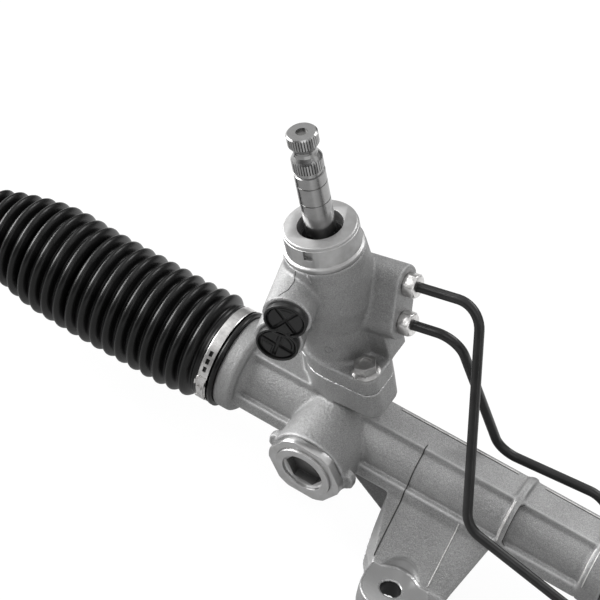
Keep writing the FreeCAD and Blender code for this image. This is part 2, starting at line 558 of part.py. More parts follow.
def valve_housing():
    flange = padded("valve_flange", flange_outline(), "flange_thick",
                    on_pinion(0, 0, number("flange_top - flange_thick")), rounding="flange_corner")
    tower = turned("tower", [
        ("0", "flange_top - flange_thick"), ("flange_round_r", "flange_top - flange_thick"),
        ("flange_round_r", "flange_top"), ("tower_waist_r", "flange_top + 2"),
        ("tower_waist_r", "flange_top + 25"), ("tower_r", "flange_top + 40"), ("tower_r", "tower_top - 14"),
        ("collar_flange_r + 0.5", "tower_top"), ("0", "tower_top")], PINION)
    bosses = [
        rod("high_port_boss", "port_boss_r", "port_reach", port_place("port_high_side", "port_high", "0")),
        rod("low_port_boss", "port_boss_r", "port_reach - 12", port_place("port_low_side", "port_low", "12")),
        rod("high_line_boss", "line_boss_r", "line_reach", line_place("line_high_back", "line_high", "0")),
        rod("low_line_boss", "line_boss_r", "line_reach", line_place("line_low_back", "line_low", "0")),
    ]
    line_pad = padded("line_pad", [
        ("line_high_back - line_boss_r * 0.85", "line_high + line_boss_r * 0.5"),
        ("line_low_back - line_boss_r * 0.9", "line_low + line_boss_r * 0.45"),
        ("line_low_back + line_boss_r * 0.9", "line_low - line_boss_r * 0.45"),
        ("line_high_back + line_boss_r * 0.85", "line_high - line_boss_r * 0.5")],
        "line_reach", PINION, role="YZ_Plane")
    gusset = padded("tower_gusset", [
        ("14", "flange_top - 2"), ("flange_half_along - 0.5", "flange_top - 2"),
        ("flange_half_along - 1", "flange_top + 15"), ("flange_half_along - 4", "flange_top + 22"),
        ("14", "flange_top + 34")], "gusset_wide", on_pinion(0, NUMBER["gusset_back"], 0), role="XZ_Plane")
    casting = joined("valve_casting", [flange, tower, gusset, line_pad] + bosses)
    cuts = [
        rod("sleeve_bore", "sleeve_bore_r", "sleeve_bore_top - sleeve_bore_low",
            on_pinion(0, 0, NUMBER["sleeve_bore_low"])),
        rod("journal_bore", "pinion_bore_r + fit_gap", "flange_thick + sleeve_bore_low - flange_top + 2",
            on_pinion(0, 0, number("flange_top - flange_thick - 1"))),
        rod("upper_bore", "seal_bore_r", "tower_top - sleeve_bore_top + 2",
            on_pinion(0, 0, number("sleeve_bore_top - 1"))),
        rod("bolt_nook_front", "bolt_nook_r", "bolt_nook", bolt_place(1, NUMBER["flange_top"])),
        rod("bolt_nook_back", "bolt_nook_r", "bolt_nook", bolt_place(-1, NUMBER["flange_top"])),
        rod("bolt_pass", "bolt_r + fit_gap", "flange_thick + 2", bolt_place(1, number("flange_top - flange_thick - 1"))),
        rod("bolt_pass_back", "bolt_r + fit_gap", "flange_thick + 2",
            bolt_place(-1, number("flange_top - flange_thick - 1"))),
        rod("high_port", "port_r", "port_depth + 1", port_place("port_high_side", "port_high", "port_reach - port_depth")),
        rod("low_port", "port_r", "port_depth + 1", port_place("port_low_side", "port_low", "port_reach - port_depth")),
        rod("high_drill", "4", "port_reach", port_place("port_high_side", "port_high", "8")),
        rod("high_line", "nut_thread_r + fit_gap", "nut_thread_len + 2",
            line_place("line_high_back", "line_high", "line_reach - nut_thread_len - 1")),
        rod("low_line", "nut_thread_r + fit_gap", "nut_thread_len + 2",
            line_place("line_low_back", "line_low", "line_reach - nut_thread_len - 1")),
        rod("high_line_drill", "2.5", "line_reach", line_place("line_high_back", "line_high", "6")),
        rod("low_line_drill", "2.5", "line_reach", line_place("line_low_back", "line_low", "6")),
    ]
    return node("valve_housing", less("valve_housing", casting, cuts))


def valve_collar():
    ring = turned("collar_ring", [
        ("seal_bore_r", "tower_top"), ("collar_flange_r", "tower_top"), ("collar_flange_r", "tower_top + 2.6"),
        ("collar_r", "tower_top + 3.6"), ("collar_r", "collar_top - collar_step"),
        ("collar_r - 0.5", "collar_top - collar_step + 0.3"), ("collar_r - 0.5", "collar_top - 0.8"),
        ("collar_r - 1.3", "collar_top"), ("seal_bore_r", "collar_top")], PINION)
    notch = block("collar_notch", "5.6", "6", "6.4", on_pinion(
        0, 0, 0, Rotation(Vector(0, 0, 1), 4)).multiply(
            Placement(Vector(0, -number("collar_r + 3.4"), number("collar_top - collar_step - 6.4")), Rotation())))
    return node("valve_collar", less("valve_collar", ring, [notch]))


def valve_bolts():
    bolts = []
    for sign in (1, -1):
        place = bolt_place(sign, NUMBER["flange_top"])
        down = bolt_place(sign, number("flange_top - bolt_len + 1"))
        tag = "front" if sign > 0 else "back"
        flange = turned(f"bolt_flange_{tag}", [
            ("0", "0"), ("bolt_flange_r", "0"), ("bolt_flange_r", "1"), ("bolt_head_flats * 0.55", "2.4"),
            ("0", "2.4")], place)
        head = hexagon(f"bolt_head_{tag}", "bolt_head_flats", "bolt_head", place)
        shank = rod(f"bolt_shank_{tag}", "bolt_r", "bolt_len", down)
        dish = rod(f"bolt_dish_{tag}", "bolt_head_flats * 0.32", "1.5",
                   place.multiply(Placement(Vector(0, 0, number("bolt_head - 1.2")), Rotation())))
        bolts.append(less(f"bolt_{tag}", joined(f"bolt_body_{tag}", [flange, head, shank]), [dish]))
    group = doc.addObject("Part::Compound", "valve_bolts")
    group.Links = bolts
    return node("valve_bolts", group)


def input_seal():
    seal = turned("input_seal", [
        ("shaft_r + fit_gap", "tower_top + 3"), ("seal_bore_r - fit_gap", "tower_top + 3"),
        ("seal_bore_r - fit_gap", "tower_top + 10"), ("seal_bore_r - 1.6", "tower_top + 10"),
        ("shaft_r + 1.2", "tower_top + 7"), ("shaft_r + fit_gap", "tower_top + 7")], PINION)
    return node("input_seal", seal)


def input_bearing():
    ring = turned("input_bearing", [
        ("shaft_r + fit_gap", "sleeve_bore_top + 1"), ("seal_bore_r - fit_gap", "sleeve_bore_top + 1"),
        ("seal_bore_r - fit_gap", "tower_top - 1"), ("shaft_r + fit_gap", "tower_top - 1")], PINION)
    return node("input_bearing", ring)


def port_plug():
    parts = []
    for tag, side, height in (("high", "port_high_side", "port_high"), ("low", "port_low_side", "port_low")):
        parts.append(rod(f"plug_cap_{tag}", "port_cap_r", "port_cap_thick", port_place(side, height, "port_reach")))
        parts.append(rod(f"plug_peg_{tag}", "port_r - 0.15", "port_depth * 0.6 + 1",
                         port_place(side, height, "port_reach - port_depth * 0.6")))
    return node("port_plug", joined("port_plug", parts))


# Input shaft, valve sleeve and pinion


RING_GROOVE = "shaft_top - 49.5 + 13 * %d"


def input_shaft():
    neck_low = "shaft_top - spline_long - groove_long"
    body = turned("shaft_turned", [
        ("torsion_bar_r + fit_gap", "sleeve_low + 9"), ("spool_r", "sleeve_low + 9"), ("spool_r", "sleeve_top"),
        ("shaft_r", "sleeve_top + 1.5"), ("shaft_r", RING_GROOVE % 0), ("shaft_r - 0.4", RING_GROOVE % 0),
        ("shaft_r - 0.4", RING_GROOVE % 0 + " + 0.8"), ("shaft_r", RING_GROOVE % 0 + " + 0.8"),
        ("shaft_r", RING_GROOVE % 1), ("shaft_r - 0.4", RING_GROOVE % 1),
        ("shaft_r - 0.4", RING_GROOVE % 1 + " + 0.8"), ("shaft_r", RING_GROOVE % 1 + " + 0.8"), ("shaft_r", "shaft_top - spline_long - groove_long - spline_low - 3.6"),
        ("shaft_r - 0.9", "shaft_top - spline_long - groove_long - spline_low - 3.2"),
        ("shaft_r - 0.9", "shaft_top - spline_long - groove_long - spline_low - 1.2"),
        ("shaft_r - 0.1", "shaft_top - spline_long - groove_long - spline_low - 0.8"),
        ("shaft_r - 0.1", neck_low), ("shaft_r - 0.9", neck_low + " + 1.5"),
        ("groove_r + 0.3", neck_low + " + groove_long * 0.32"), ("groove_r", neck_low + " + groove_long * 0.5"),
        ("groove_r + 0.3", neck_low + " + groove_long * 0.68"),
        ("shaft_r - 0.9", "shaft_top - spline_long - 1.2"),
        ("shaft_r - 0.1", "shaft_top - spline_long"), ("shaft_r - 0.1", "shaft_top - 1"),
        ("shaft_r - 1.1", "shaft_top"), ("torsion_bar_r + fit_gap", "shaft_top")], PINION)
    splines = outline(body, "spline_gap", [
        ("shaft_r + 0.6", "0.62"), ("shaft_r - 0.1 - spline_depth", "0"), ("shaft_r + 0.6", "0 - 0.62")],
        "XY_Plane")
    splines.setExpression(".AttachmentOffset.Base.z", bound("shaft_top + 1"))
    cut = body.newObject("PartDesign::Pocket", "spline_cut")
    cut.Profile = splines
    cut.setExpression("Length", bound("spline_long + groove_long + spline_low + 1.2"))
    ring = body.newObject("PartDesign::PolarPattern", "spline_ring")
    ring.Originals = [cut]
    ring.Axis = ([axis for axis in body.Origin.OriginFeatures if axis.Role == "Z_Axis"][0], [""])
    ring.Angle = 360
    ring.setExpression("Occurrences", bound("spline_teeth"))
    body.Tip = ring
    return node("input_shaft", body)


def torsion_bar():
    bar = turned("torsion_bar", [
        ("0", "sleeve_low - 20"), ("torsion_bar_r", "sleeve_low - 20"), ("torsion_bar_r", "sleeve_low + 4"),
        ("torsion_bar_r - 0.9", "sleeve_low + 9"), ("torsion_bar_r - 0.9", "shaft_top - 26"),
        ("torsion_bar_r", "shaft_top - 21"), ("torsion_bar_r", "shaft_top - 1.6"), ("0", "shaft_top - 1.6")], PINION)
    return node("torsion_bar", bar)


SLEEVE_GROOVE = "sleeve_low + 5 + 13 * %d"


def valve_sleeve():
    groove_low = [SLEEVE_GROOVE % index for index in range(4)]
    corners = [("spool_r + fit_gap", "sleeve_low"), ("sleeve_bore_r - fit_gap", "sleeve_low")]
    for low in groove_low:
        corners += [("sleeve_bore_r - fit_gap", low), ("sleeve_bore_r - 1.6", low),
                    ("sleeve_bore_r - 1.6", low + " + 2.2"), ("sleeve_bore_r - fit_gap", low + " + 2.2")]
    corners += [("sleeve_bore_r - fit_gap", "sleeve_top"), ("spool_r + fit_gap", "sleeve_top")]
    return node("valve_sleeve", turned("valve_sleeve", corners, PINION))


def sleeve_rings():
    rings = []
    for index in range(4):
        low = SLEEVE_GROOVE % index
        rings.append(turned(f"sleeve_ring_{index + 1}", [
            ("sleeve_bore_r - 1.5", low + " + 0.1"), ("sleeve_bore_r - 0.02", low + " + 0.1"),
            ("sleeve_bore_r - 0.02", low + " + 2.1"), ("sleeve_bore_r - 1.5", low + " + 2.1")], PINION))
    group = doc.addObject("Part::Compound", "sleeve_rings")
    group.Links = rings
    return node("sleeve_rings", group)


def involute_angle(radius, base):
    turn = math.sqrt(max((radius / base) ** 2 - 1, 0.0))
    return turn - math.atan(turn)


def pinion_section(height):
    """One cross section of the pinion: a closed wire turned by the helix at this height."""
    teeth = int(NUMBER["pinion_teeth"])
    tilt = radial("pinion_tilt")
    module_cross = NUMBER["tooth_module"] / math.cos(tilt)
    pressure = math.atan(math.tan(radial("pressure_angle")) / math.cos(tilt))
    base = PITCH_R * math.cos(pressure)
    tip = NUMBER["pinion_tip_r"]
    root = PITCH_R + NUMBER["pinion_shift"] - 1.25 * NUMBER["tooth_module"]
    thickness = module_cross * math.pi / 2 + 2 * NUMBER["pinion_shift"] * math.tan(pressure)
    thickness -= NUMBER["tooth_backlash"] / 2 / math.cos(tilt)
    half = thickness / 2 / PITCH_R + involute_angle(PITCH_R, base)
    start = max(base, root)
    twist = height * math.tan(tilt) / PITCH_R
    edges = []
    for tooth in range(teeth):
        middle = -math.pi / 2 + (tooth + 0.5) * 2 * math.pi / teeth + twist
        flank = [start + (tip - start) * step / 4 for step in range(5)]
        rise = [(radius, middle - half + involute_angle(radius, base)) for radius in flank]
        fall = [(radius, middle + half - involute_angle(radius, base)) for radius in reversed(flank)]
        next_root = middle + 2 * math.pi / teeth - half
        spots = [[Vector(r * math.cos(a), r * math.sin(a), height) for r, a in side] for side in (rise, fall)]
        foot_in = Vector(root * math.cos(middle - half), root * math.sin(middle - half), height)
        foot_out = Vector(root * math.cos(middle + half), root * math.sin(middle + half), height)
        foot_next = Vector(root * math.cos(next_root), root * math.sin(next_root), height)
        floor = (middle + half + next_root) / 2
        bottom = Vector(root * math.cos(floor), root * math.sin(floor), height)
        crown = Vector(tip * math.cos(middle), tip * math.sin(middle), height)
        rising, falling = Part.BSplineCurve(), Part.BSplineCurve()
        rising.interpolate(spots[0])
        falling.interpolate(spots[1])
        edges += [Part.LineSegment(foot_in, spots[0][0]).toShape(), rising.toShape(),
                  Part.Arc(spots[0][-1], crown, spots[1][0]).toShape(), falling.toShape(),
                  Part.LineSegment(spots[1][-1], foot_out).toShape(),
                  Part.Arc(foot_out, bottom, foot_next).toShape()]
    return Part.Wire(edges)


def pinion():
    """Helical teeth that mesh square with the rack, on a shaft that carries the valve sleeve."""
    face = NUMBER["pinion_face"]
    heights = [face * (step / 6 - 0.5) for step in range(7)]
    teeth = doc.addObject("Part::Feature", "pinion_teeth_solid")
    teeth.Shape = Part.makeLoft([pinion_section(height) for height in heights], True, False)
    teeth.Placement = PINION
    shaft = turned("pinion_shaft", [
        ("0", "0 - 31"), ("bearing_bore_r", "0 - 31"), ("bearing_bore_r", "0 - pinion_face / 2"),
        ("6.7", "0 - pinion_face / 2"), ("6.7", "pinion_face / 2 + 1"), ("journal_r", "pinion_face / 2 + 4"),
        ("journal_r", "sleeve_low - 4"), ("sleeve_bore_r - 3", "sleeve_low - 3.5"), ("sleeve_bore_r - 3", "sleeve_low"),
        ("spool_r - fit_gap", "sleeve_low"), ("spool_r - fit_gap", "sleeve_low + 8"),
        ("torsion_bar_r + fit_gap", "sleeve_low + 8"), ("torsion_bar_r + fit_gap", "sleeve_low - 20.2"),
        ("0", "sleeve_low - 20.2")], PINION)
    return node("pinion", joined("pinion", [teeth, shaft]))


def pinion_bearings():
    race = "(bearing_r - bearing_bore_r) * 0.45"
    low = "0 - bearing_top - bearing_width"
    node("lower_bearing_outer", turned("lower_bearing_outer", [
        (f"bearing_r - {race}", low), ("bearing_r", low), ("bearing_r", "0 - bearing_top"),
        (f"bearing_r - {race}", "0 - bearing_top")], PINION))
    node("lower_bearing_inner", turned("lower_bearing_inner", [
        ("bearing_bore_r + fit_gap", low), (f"bearing_bore_r + {race}", low),
        (f"bearing_bore_r + {race}", "0 - bearing_top"), ("bearing_bore_r + fit_gap", "0 - bearing_top")], PINION))
    node("pinion_bush", turned("pinion_bush", [
        ("journal_r + fit_gap", "bush_low"), ("pinion_bore_r", "bush_low"), ("pinion_bore_r", "bush_top"),
        ("journal_r + fit_gap", "bush_top")], PINION))
    nut = hexagon("pinion_nut_hex", "17", "3.6", on_pinion(0, 0, number("0 - bearing_top - bearing_width - 3.8")))
    node("pinion_nut", less("pinion_nut", nut, [
        rod("pinion_nut_bore", "bearing_bore_r + fit_gap", "8", on_pinion(0, 0, -34))]))
    node("pinion_cap", turned("pinion_cap", [
        ("0", "0 - 35"), ("bearing_r", "0 - 35"), ("bearing_r", "0 - 27.2"), ("bearing_r - 1.4", "0 - 27.2"),
        ("bearing_r - 1.4", "0 - 33"), ("0", "0 - 33")], PINION))


# Rack, piston, seals and guide


def rack_bar():
    """A round bar with straight teeth across its back, cut square to its axis."""
    length = f"housing_left + {FAR_START} + end_len"
    left = "(housing_left + ball_out - socket_wall_r - 4)"
    total = f"({length}) + ball_out * 2 - 2 * (socket_wall_r + 4)"
    bar = doc.addObject("PartDesign::Body", "rack_blank")
    section = bar.newObject("Sketcher::SketchObject", "bar_section")
    section.AttachmentSupport = (origin_plane(bar, "YZ_Plane"), "")
    section.MapMode = "FlatFace"
    section.setExpression(".AttachmentOffset.Base.z", bound(f"0 - {left}"))
    section.addGeometry(Part.Circle(Vector(0, 0, 0), Vector(0, 0, 1), NUMBER["rack_r"]))
    section.addConstraint(Sketcher.Constraint("Coincident", 0, 3, -1, 1))
    held = section.addConstraint(Sketcher.Constraint("Radius", 0, NUMBER["rack_r"]))
    section.setExpression(f"Constraints[{held}]", bound("rack_r"))
    pad = bar.newObject("PartDesign::Pad", "bar_pad")
    pad.Profile = section
    pad.setExpression("Length", bound(total))
    tip = "rack_reference + tooth_module"
    slope = "tan(pressure_angle * 1 deg)"
    wide = "pi * tooth_module / 4 + tooth_backlash / 4"
    top_half = f"({wide} + tooth_module * {slope})"
    low_half = f"({wide} - tooth_module * 1.25 * {slope})"
    first = "(0 - (rack_teeth - 1) / 2 * pi * tooth_module - pi * tooth_module / 2)"
    flat = outline(bar, "tooth_flat", [
        (f"{first} - {top_half}", tip), (f"{first} - {top_half}", "rack_r + 1"),
        (f"0 - {first} + {top_half}", "rack_r + 1"), (f"0 - {first} + {top_half}", tip)], "XY_Plane")
    flat_cut = bar.newObject("PartDesign::Pocket", "flat_cut")
    flat_cut.Profile = flat
    flat_cut.Midplane = True
    flat_cut.setExpression("Length", bound("rack_r * 3"))
    gap = outline(bar, "tooth_gap", [
        (f"{first} - {top_half}", tip), (f"{first} - {low_half}", "rack_reference - tooth_module * 1.25"),
        (f"{first} + {low_half}", "rack_reference - tooth_module * 1.25"), (f"{first} + {top_half}", tip)],
        "XY_Plane")
    gap_cut = bar.newObject("PartDesign::Pocket", "gap_cut")
    gap_cut.Profile = gap
    gap_cut.Midplane = True
    gap_cut.setExpression("Length", bound("rack_r * 3"))
    row = bar.newObject("PartDesign::LinearPattern", "tooth_row")
    row.Originals = [gap_cut]
    row.Direction = ([axis for axis in bar.Origin.OriginFeatures if axis.Role == "X_Axis"][0], [""])
    row.setExpression("Length", bound("rack_teeth * pi * tooth_module"))
    row.setExpression("Occurrences", bound("rack_teeth + 1"))
    bar.Tip = row
    bar.Placement = TOOTHED
    bores = [rod(f"rack_end_bore_{tag}", "socket_stud_r + fit_gap", "socket_stud_len + 2",
                 end_place(side, number("ball_out - socket_wall_r - 4 - socket_stud_len - 1")))
             for side, tag in ((-1, "left"), (1, "right"))]
    return node("rack_bar", less("rack_bar", bar, bores))


def rack_parts():
    middle = number("socket_at + socket_len - cylinder_depth + cylinder_len / 2")
    at_piston = on_rack(middle, 0, 0, ALONG)
    piston = turned("rack_piston", [
        ("rack_r + 0.02", "0 - 8"), ("cylinder_bore_r - 0.6", "0 - 8"), ("cylinder_bore_r - 0.6", "0 - 2"),
        ("cylinder_bore_r - 2.4", "0 - 2"), ("cylinder_bore_r - 2.4", "2"), ("cylinder_bore_r - 0.6", "2"),
        ("cylinder_bore_r - 0.6", "8"), ("rack_r + 0.02", "8")], at_piston)
    node("rack_piston", piston)
    ring = turned("piston_ring", [
        ("cylinder_bore_r - 2.3", "0 - 1.9"), ("cylinder_bore_r - fit_gap", "0 - 1.9"),
        ("cylinder_bore_r - fit_gap", "1.9"), ("cylinder_bore_r - 2.3", "1.9")], at_piston)
    node("piston_ring", ring)
    inner = turned("inner_rack_seal", [
        ("rack_r + fit_gap", "0"), ("rack_bore_r - fit_gap", "0"), ("rack_bore_r - fit_gap", "9"),
        ("rack_r + fit_gap", "9")], on_rack(number("socket_at - inner_seal_before"), 0, 0, ALONG))
    node("inner_rack_seal", inner)
    bush = turned("rack_bushing", [
        ("rack_r + fit_gap", "0"), ("rack_bore_r - fit_gap", "0"), ("rack_bore_r - fit_gap", "bush_len"),
        ("rack_r + fit_gap", "bush_len")],
        on_rack(number(f"{FAR_START} + end_len - big_end_bore_len - bush_len - 1"), 0, 0, ALONG))
    node("rack_bushing", bush)


def yoke_parts():
    near = NUMBER["yoke_near"]
    back = number("yoke_near + yoke_len")
    plug_out = number("yoke_boss_reach + yoke_nut_thick + yoke_plug_out")
    yoke_body = rod("yoke_body", "yoke_bore_r - fit_gap", "yoke_len", along_yoke(near))
    trough = rod("yoke_trough", "rack_r + liner_thick + fit_gap * 2", "80", on_rack(-40, 0, 0, ALONG))
    pocket = rod("yoke_pocket_cut", "spring_r + 0.5", "yoke_pocket + 1", along_yoke(back - NUMBER["yoke_pocket"]))
    node("rack_yoke", less("rack_yoke", yoke_body, [trough, pocket]))
    liner_out = rod("liner_out", "rack_r + liner_thick + fit_gap", "26", on_rack(-13, 0, 0, ALONG))
    liner_in = rod("liner_in", "rack_r + fit_gap", "30", on_rack(-15, 0, 0, ALONG))
    liner_window = rod("liner_window", "yoke_bore_r - 1.5", "yoke_len", along_yoke(near + 0.2))
    node("yoke_liner", less("yoke_liner", shared("liner_shape", [liner_out, liner_window]), [liner_in]))
    room = "(yoke_boss_reach + yoke_nut_thick + yoke_plug_out - yoke_plug_len - yoke_near - yoke_len + yoke_pocket)"
    cone = f"({room} / 2 - spring_thick)"
    spring = turned("yoke_spring", [
        ("spring_r", cone), ("spring_r", f"{room} - {cone}"), ("spring_bore_r", f"{room} - 0.05"),
        ("spring_bore_r", f"{room} - spring_thick"), ("spring_r - 2", f"{room} / 2"),
        ("spring_bore_r", "spring_thick"), ("spring_bore_r", "0.05")],
        along_yoke(back - NUMBER["yoke_pocket"]))
    node("yoke_spring", spring)
    plug = rod("plug_body", "yoke_plug_r", "yoke_plug_len", along_yoke(plug_out - NUMBER["yoke_plug_len"]))
    dish = turned("plug_dish", [
        ("0", "0 - 3.2"), ("yoke_socket_r - 1", "0 - 3.2"), ("yoke_socket_r", "0 - 2.2"), ("yoke_socket_r", "1"),
        ("0", "1")], along_yoke(plug_out))
    socket = hexagon("plug_socket", "yoke_socket_flats", "9", along_yoke(plug_out - 9))
    node("yoke_plug", less("yoke_plug", plug, [dish, socket]))
    at_nut = along_yoke(NUMBER["yoke_boss_reach"])
    nut = shared("nut_solid", [hexagon("nut_hex", "yoke_nut_flats", "yoke_nut_thick", at_nut),
                               rod("nut_round", "yoke_nut_flats / 2 + 1.6", "yoke_nut_thick", at_nut)])
    node("yoke_lock_nut", less("yoke_lock_nut", nut, [
        rod("nut_bore", "yoke_plug_r + fit_gap", "yoke_nut_thick + 2", along_yoke(NUMBER["yoke_boss_reach"] - 1))]))


# Tie rods, ball joints and bellows, the same at both ends


def end_place(side, out=0.0):
    """At a housing end, Z pointing out along the rack; side is -1 left, 1 right."""
    right = number(f"{FAR_START} + end_len")
    left = -NUMBER["housing_left"]
    x = (left if side < 0 else right) + side * out
    return on_rack(x, 0, 0, towards(Vector(side, 0, 0)))


MOUTH_ANGLE = 60.0
SEAT_ANGLE = 50.0


def on_sphere(radius, angle):
    """Radius and height of a point on a sphere, the angle counted from its outward pole."""
    return (radius * math.sin(math.radians(angle)), radius * math.cos(math.radians(angle)))


def cup(radius, start, stop, outside):
    """A spherical cup in steps from one angle to another, kept outside or inside the sphere."""
    steps = 5
    turn = (stop - start) / steps
    grown = radius / math.cos(math.radians(turn) / 2) if outside else radius
    return [on_sphere(grown, start + turn * step) for step in range(steps + 1)]


def spun(name, corners, place, ball=None):
    """A piece turned from plain numbers; a ball adds one round side of that radius."""
    points = [Vector(radius, 0, height) for radius, height in corners]
    edges = [Part.LineSegment(start, stop).toShape()
             for start, stop in zip(points, points[1:] + points[:1])]
    if ball:
        edges[0] = Part.Arc(points[0], Vector(ball, 0, 0), points[1]).toShape()
    feature = doc.addObject("Part::Feature", name)
    feature.Shape = Part.Face(Part.Wire(edges)).revolve(Vector(), Vector(0, 0, 1), 360)
    feature.Placement = place
    return feature


def ball_joint(side, tag):
    """A ball housing screwed in the rack's end, its plastic seat, and the tie rod."""
    centre = end_place(side, NUMBER["ball_out"])
    gap = NUMBER["fit_gap"]
    wall = NUMBER["socket_wall_r"]
    back = -(wall + 4)
    cavity = cup(NUMBER["seat_r"] + gap, MOUTH_ANGLE, 180, True)
    mouth_r, mouth_z = cavity[0]
    cavity[-1] = (0, cavity[-1][1])
    housing = spun(f"{tag}_ball_housing", [
        (0, back), (wall - 2, back), (wall, back + 2), (wall, mouth_z - 2), (mouth_r + 1.6, mouth_z + 1)] + cavity,
        centre)
    stud = rod(f"{tag}_socket_stud", "socket_stud_r", "socket_stud_len + 1",
               centre.multiply(Placement(Vector(0, 0, back - NUMBER["socket_stud_len"]), Rotation())))
    flats = [block(f"{tag}_flat_{index}", "60", "60", "10",
                   centre.multiply(Placement(Vector(x, -30, back - 0.5), Rotation())))
             for index, x in enumerate((wall - 2.2, -60 - wall + 2.2))]
    node(f"{tag}_inner_socket", less(f"{tag}_inner_socket", joined(f"{tag}_socket_solid", [housing, stud]), flats))
    inner = cup(NUMBER["ball_r"] + gap, SEAT_ANGLE, 180, True)
    outer = cup(NUMBER["seat_r"], SEAT_ANGLE, 180, False)
    inner[-1] = (0, inner[-1][1])
    outer[-1] = (0, outer[-1][1])
    node(f"{tag}_ball_seat", spun(f"{tag}_ball_seat", outer + inner[::-1], centre))
    neck = NUMBER["ball_neck_r"]
    neck_at = math.sqrt(NUMBER["ball_r"] ** 2 - neck ** 2)
    rod_r = NUMBER["rod_r"]
    thread_r = NUMBER["rod_thread_r"]
    length = NUMBER["rod_len"]
    thread = length - NUMBER["rod_thread_len"]
    under_r = thread_r - NUMBER["jam_step"]
    free = thread + NUMBER["jam_run"]
    tie = spun(f"{tag}_tie_rod", [
        (0, -NUMBER["ball_r"]), (neck, neck_at), (neck, neck_at + 14), (rod_r, neck_at + 18), (rod_r, thread - 3),
        (under_r, thread - 2), (under_r, free), (thread_r, free + 0.3), (thread_r, length - 1.5),
        (thread_r - 1.5, length), (0, length)], centre, ball=NUMBER["ball_r"])
    node(f"{tag}_tie_rod", tie)
    at_nut = centre.multiply(Placement(Vector(0, 0, thread + NUMBER["jam_at"]), Rotation()))
    nut = less(f"{tag}_jam_nut", hexagon(f"{tag}_jam_hex", "jam_flats", "jam_thick", at_nut),
               [rod(f"{tag}_jam_bore", "rod_thread_r - jam_step + fit_gap", "jam_thick + 2",
                    at_nut.multiply(Placement(Vector(0, 0, -1), Rotation())))])
    node(f"{tag}_jam_nut", nut)


def crest_radius(fold):
    """Crests swell from the cuff to the largest one and then fall away ever faster."""
    big = NUMBER["boot_crest_big_r"]
    swell = NUMBER["boot_swell"]
    if fold < swell:
        return big - (big - NUMBER["boot_crest_r"]) * ((swell - fold) / swell) ** 2
    last = NUMBER["boot_folds"] - 1
    return big - (big - NUMBER["boot_crest_small_r"]) * ((fold - swell) / (last - swell)) ** 1.9


def bellows(side, tag):
    """Cuff over the housing seat, folds that taper outwards, neck on the tie rod."""
    start = end_place(side, -NUMBER["boot_seat_len"] + 0.3)
    gap = NUMBER["seat_gap"]
    seat = NUMBER["boot_seat_r"] + gap
    cuff = NUMBER["boot_cuff_r"]
    lip = NUMBER["boot_lip_r"]
    folds = int(NUMBER["boot_folds"])
    pitch = NUMBER["boot_pitch"]
    wall = NUMBER["boot_wall"]
    depth = NUMBER["boot_fold"]
    cuff_len = NUMBER["boot_seat_len"] + 3
    crest_at = [crest_radius(fold) for fold in range(folds)]
    outer = [(seat, 0), (lip, 0), (lip, 3), (cuff, 3.6), (cuff, cuff_len)]
    for index, crest in enumerate(crest_at):
        base = cuff_len + index * pitch
        outer += [(crest, base + pitch / 2), (crest - depth, base + pitch)]
    neck_r = NUMBER["rod_r"] + gap
    end = cuff_len + folds * pitch
    neck_end = end + 6 + NUMBER["boot_neck_len"]
    outer += [(neck_r + wall + 1, end + 6), (neck_r + wall + 1, neck_end), (neck_r, neck_end), (neck_r, end + 6)]
    inside = [(crest_at[index] - depth - wall, cuff_len + (index + 0.5) * pitch)
              for index in range(folds - 1, 0, -4)] + [(seat, cuff_len)]
    node(f"{tag}_bellows", spun(f"{tag}_bellows", outer + inside, start))
    band_at = start.multiply(Placement(Vector(0, 0, 5.0), Rotation()))
    band = turned(f"{tag}_band", [
        ("boot_cuff_r + 0.05", "0"), ("boot_cuff_r + 0.05 + band_thick", "0"),
        ("boot_cuff_r + 0.05 + band_thick", "band_width"), ("boot_cuff_r + 0.05", "band_width")], band_at)
    node(f"{tag}_boot_band", band)
    clip_r = neck_r + wall + 1
    clip_at = start.multiply(Placement(Vector(0, 0, end + 6 + 4), Rotation()))
    clip = turned(f"{tag}_clip", [
        (str(clip_r + 0.05), "0"), (str(clip_r + 1.25), "0"), (str(clip_r + 1.25), "clip_width"),
        (str(clip_r + 0.05), "clip_width")], clip_at)
    node(f"{tag}_boot_clip", clip)


# Steel lines with their nuts


def port_axis_point(place, out):
    return place.multVec(Vector(0, 0, out))


def rounded_route(points, radius):
    """Straight runs joined by tangent arcs."""
    edges = []
    last = points[0]
    for before, corner, after in zip(points, points[1:], points[2:]):
        inward = (before - corner).normalize()
        outward = (after - corner).normalize()
        half = inward.getAngle(outward) / 2
        reach = radius / math.tan(half)
        start = corner + inward * reach
        stop = corner + outward * reach
        middle_way = (inward + outward).normalize()
        centre = corner + middle_way * (radius / math.sin(half))
        top = centre - middle_way * radius
        edges.append(Part.LineSegment(last, start).toShape())
        edges.append(Part.Arc(start, top, stop).toShape())
        last = stop
    edges.append(Part.LineSegment(last, points[-1]).toShape())
    return Part.Wire(edges)


def steel_line(name, points):
    route = rounded_route(points, NUMBER["pipe_bend"])
    first = (points[1] - points[0]).normalize()
    profile = Part.Wire(Part.makeCircle(NUMBER["pipe_r"], points[0], first))
    pipe = doc.addObject("Part::Feature", name)
    pipe.Shape = route.makePipeShell([profile], True, False)
    print(name, "volume over section times length",
          round(pipe.Shape.Volume / (math.pi * NUMBER["pipe_r"] ** 2 * route.Length), 4))
    return node(name, pipe)


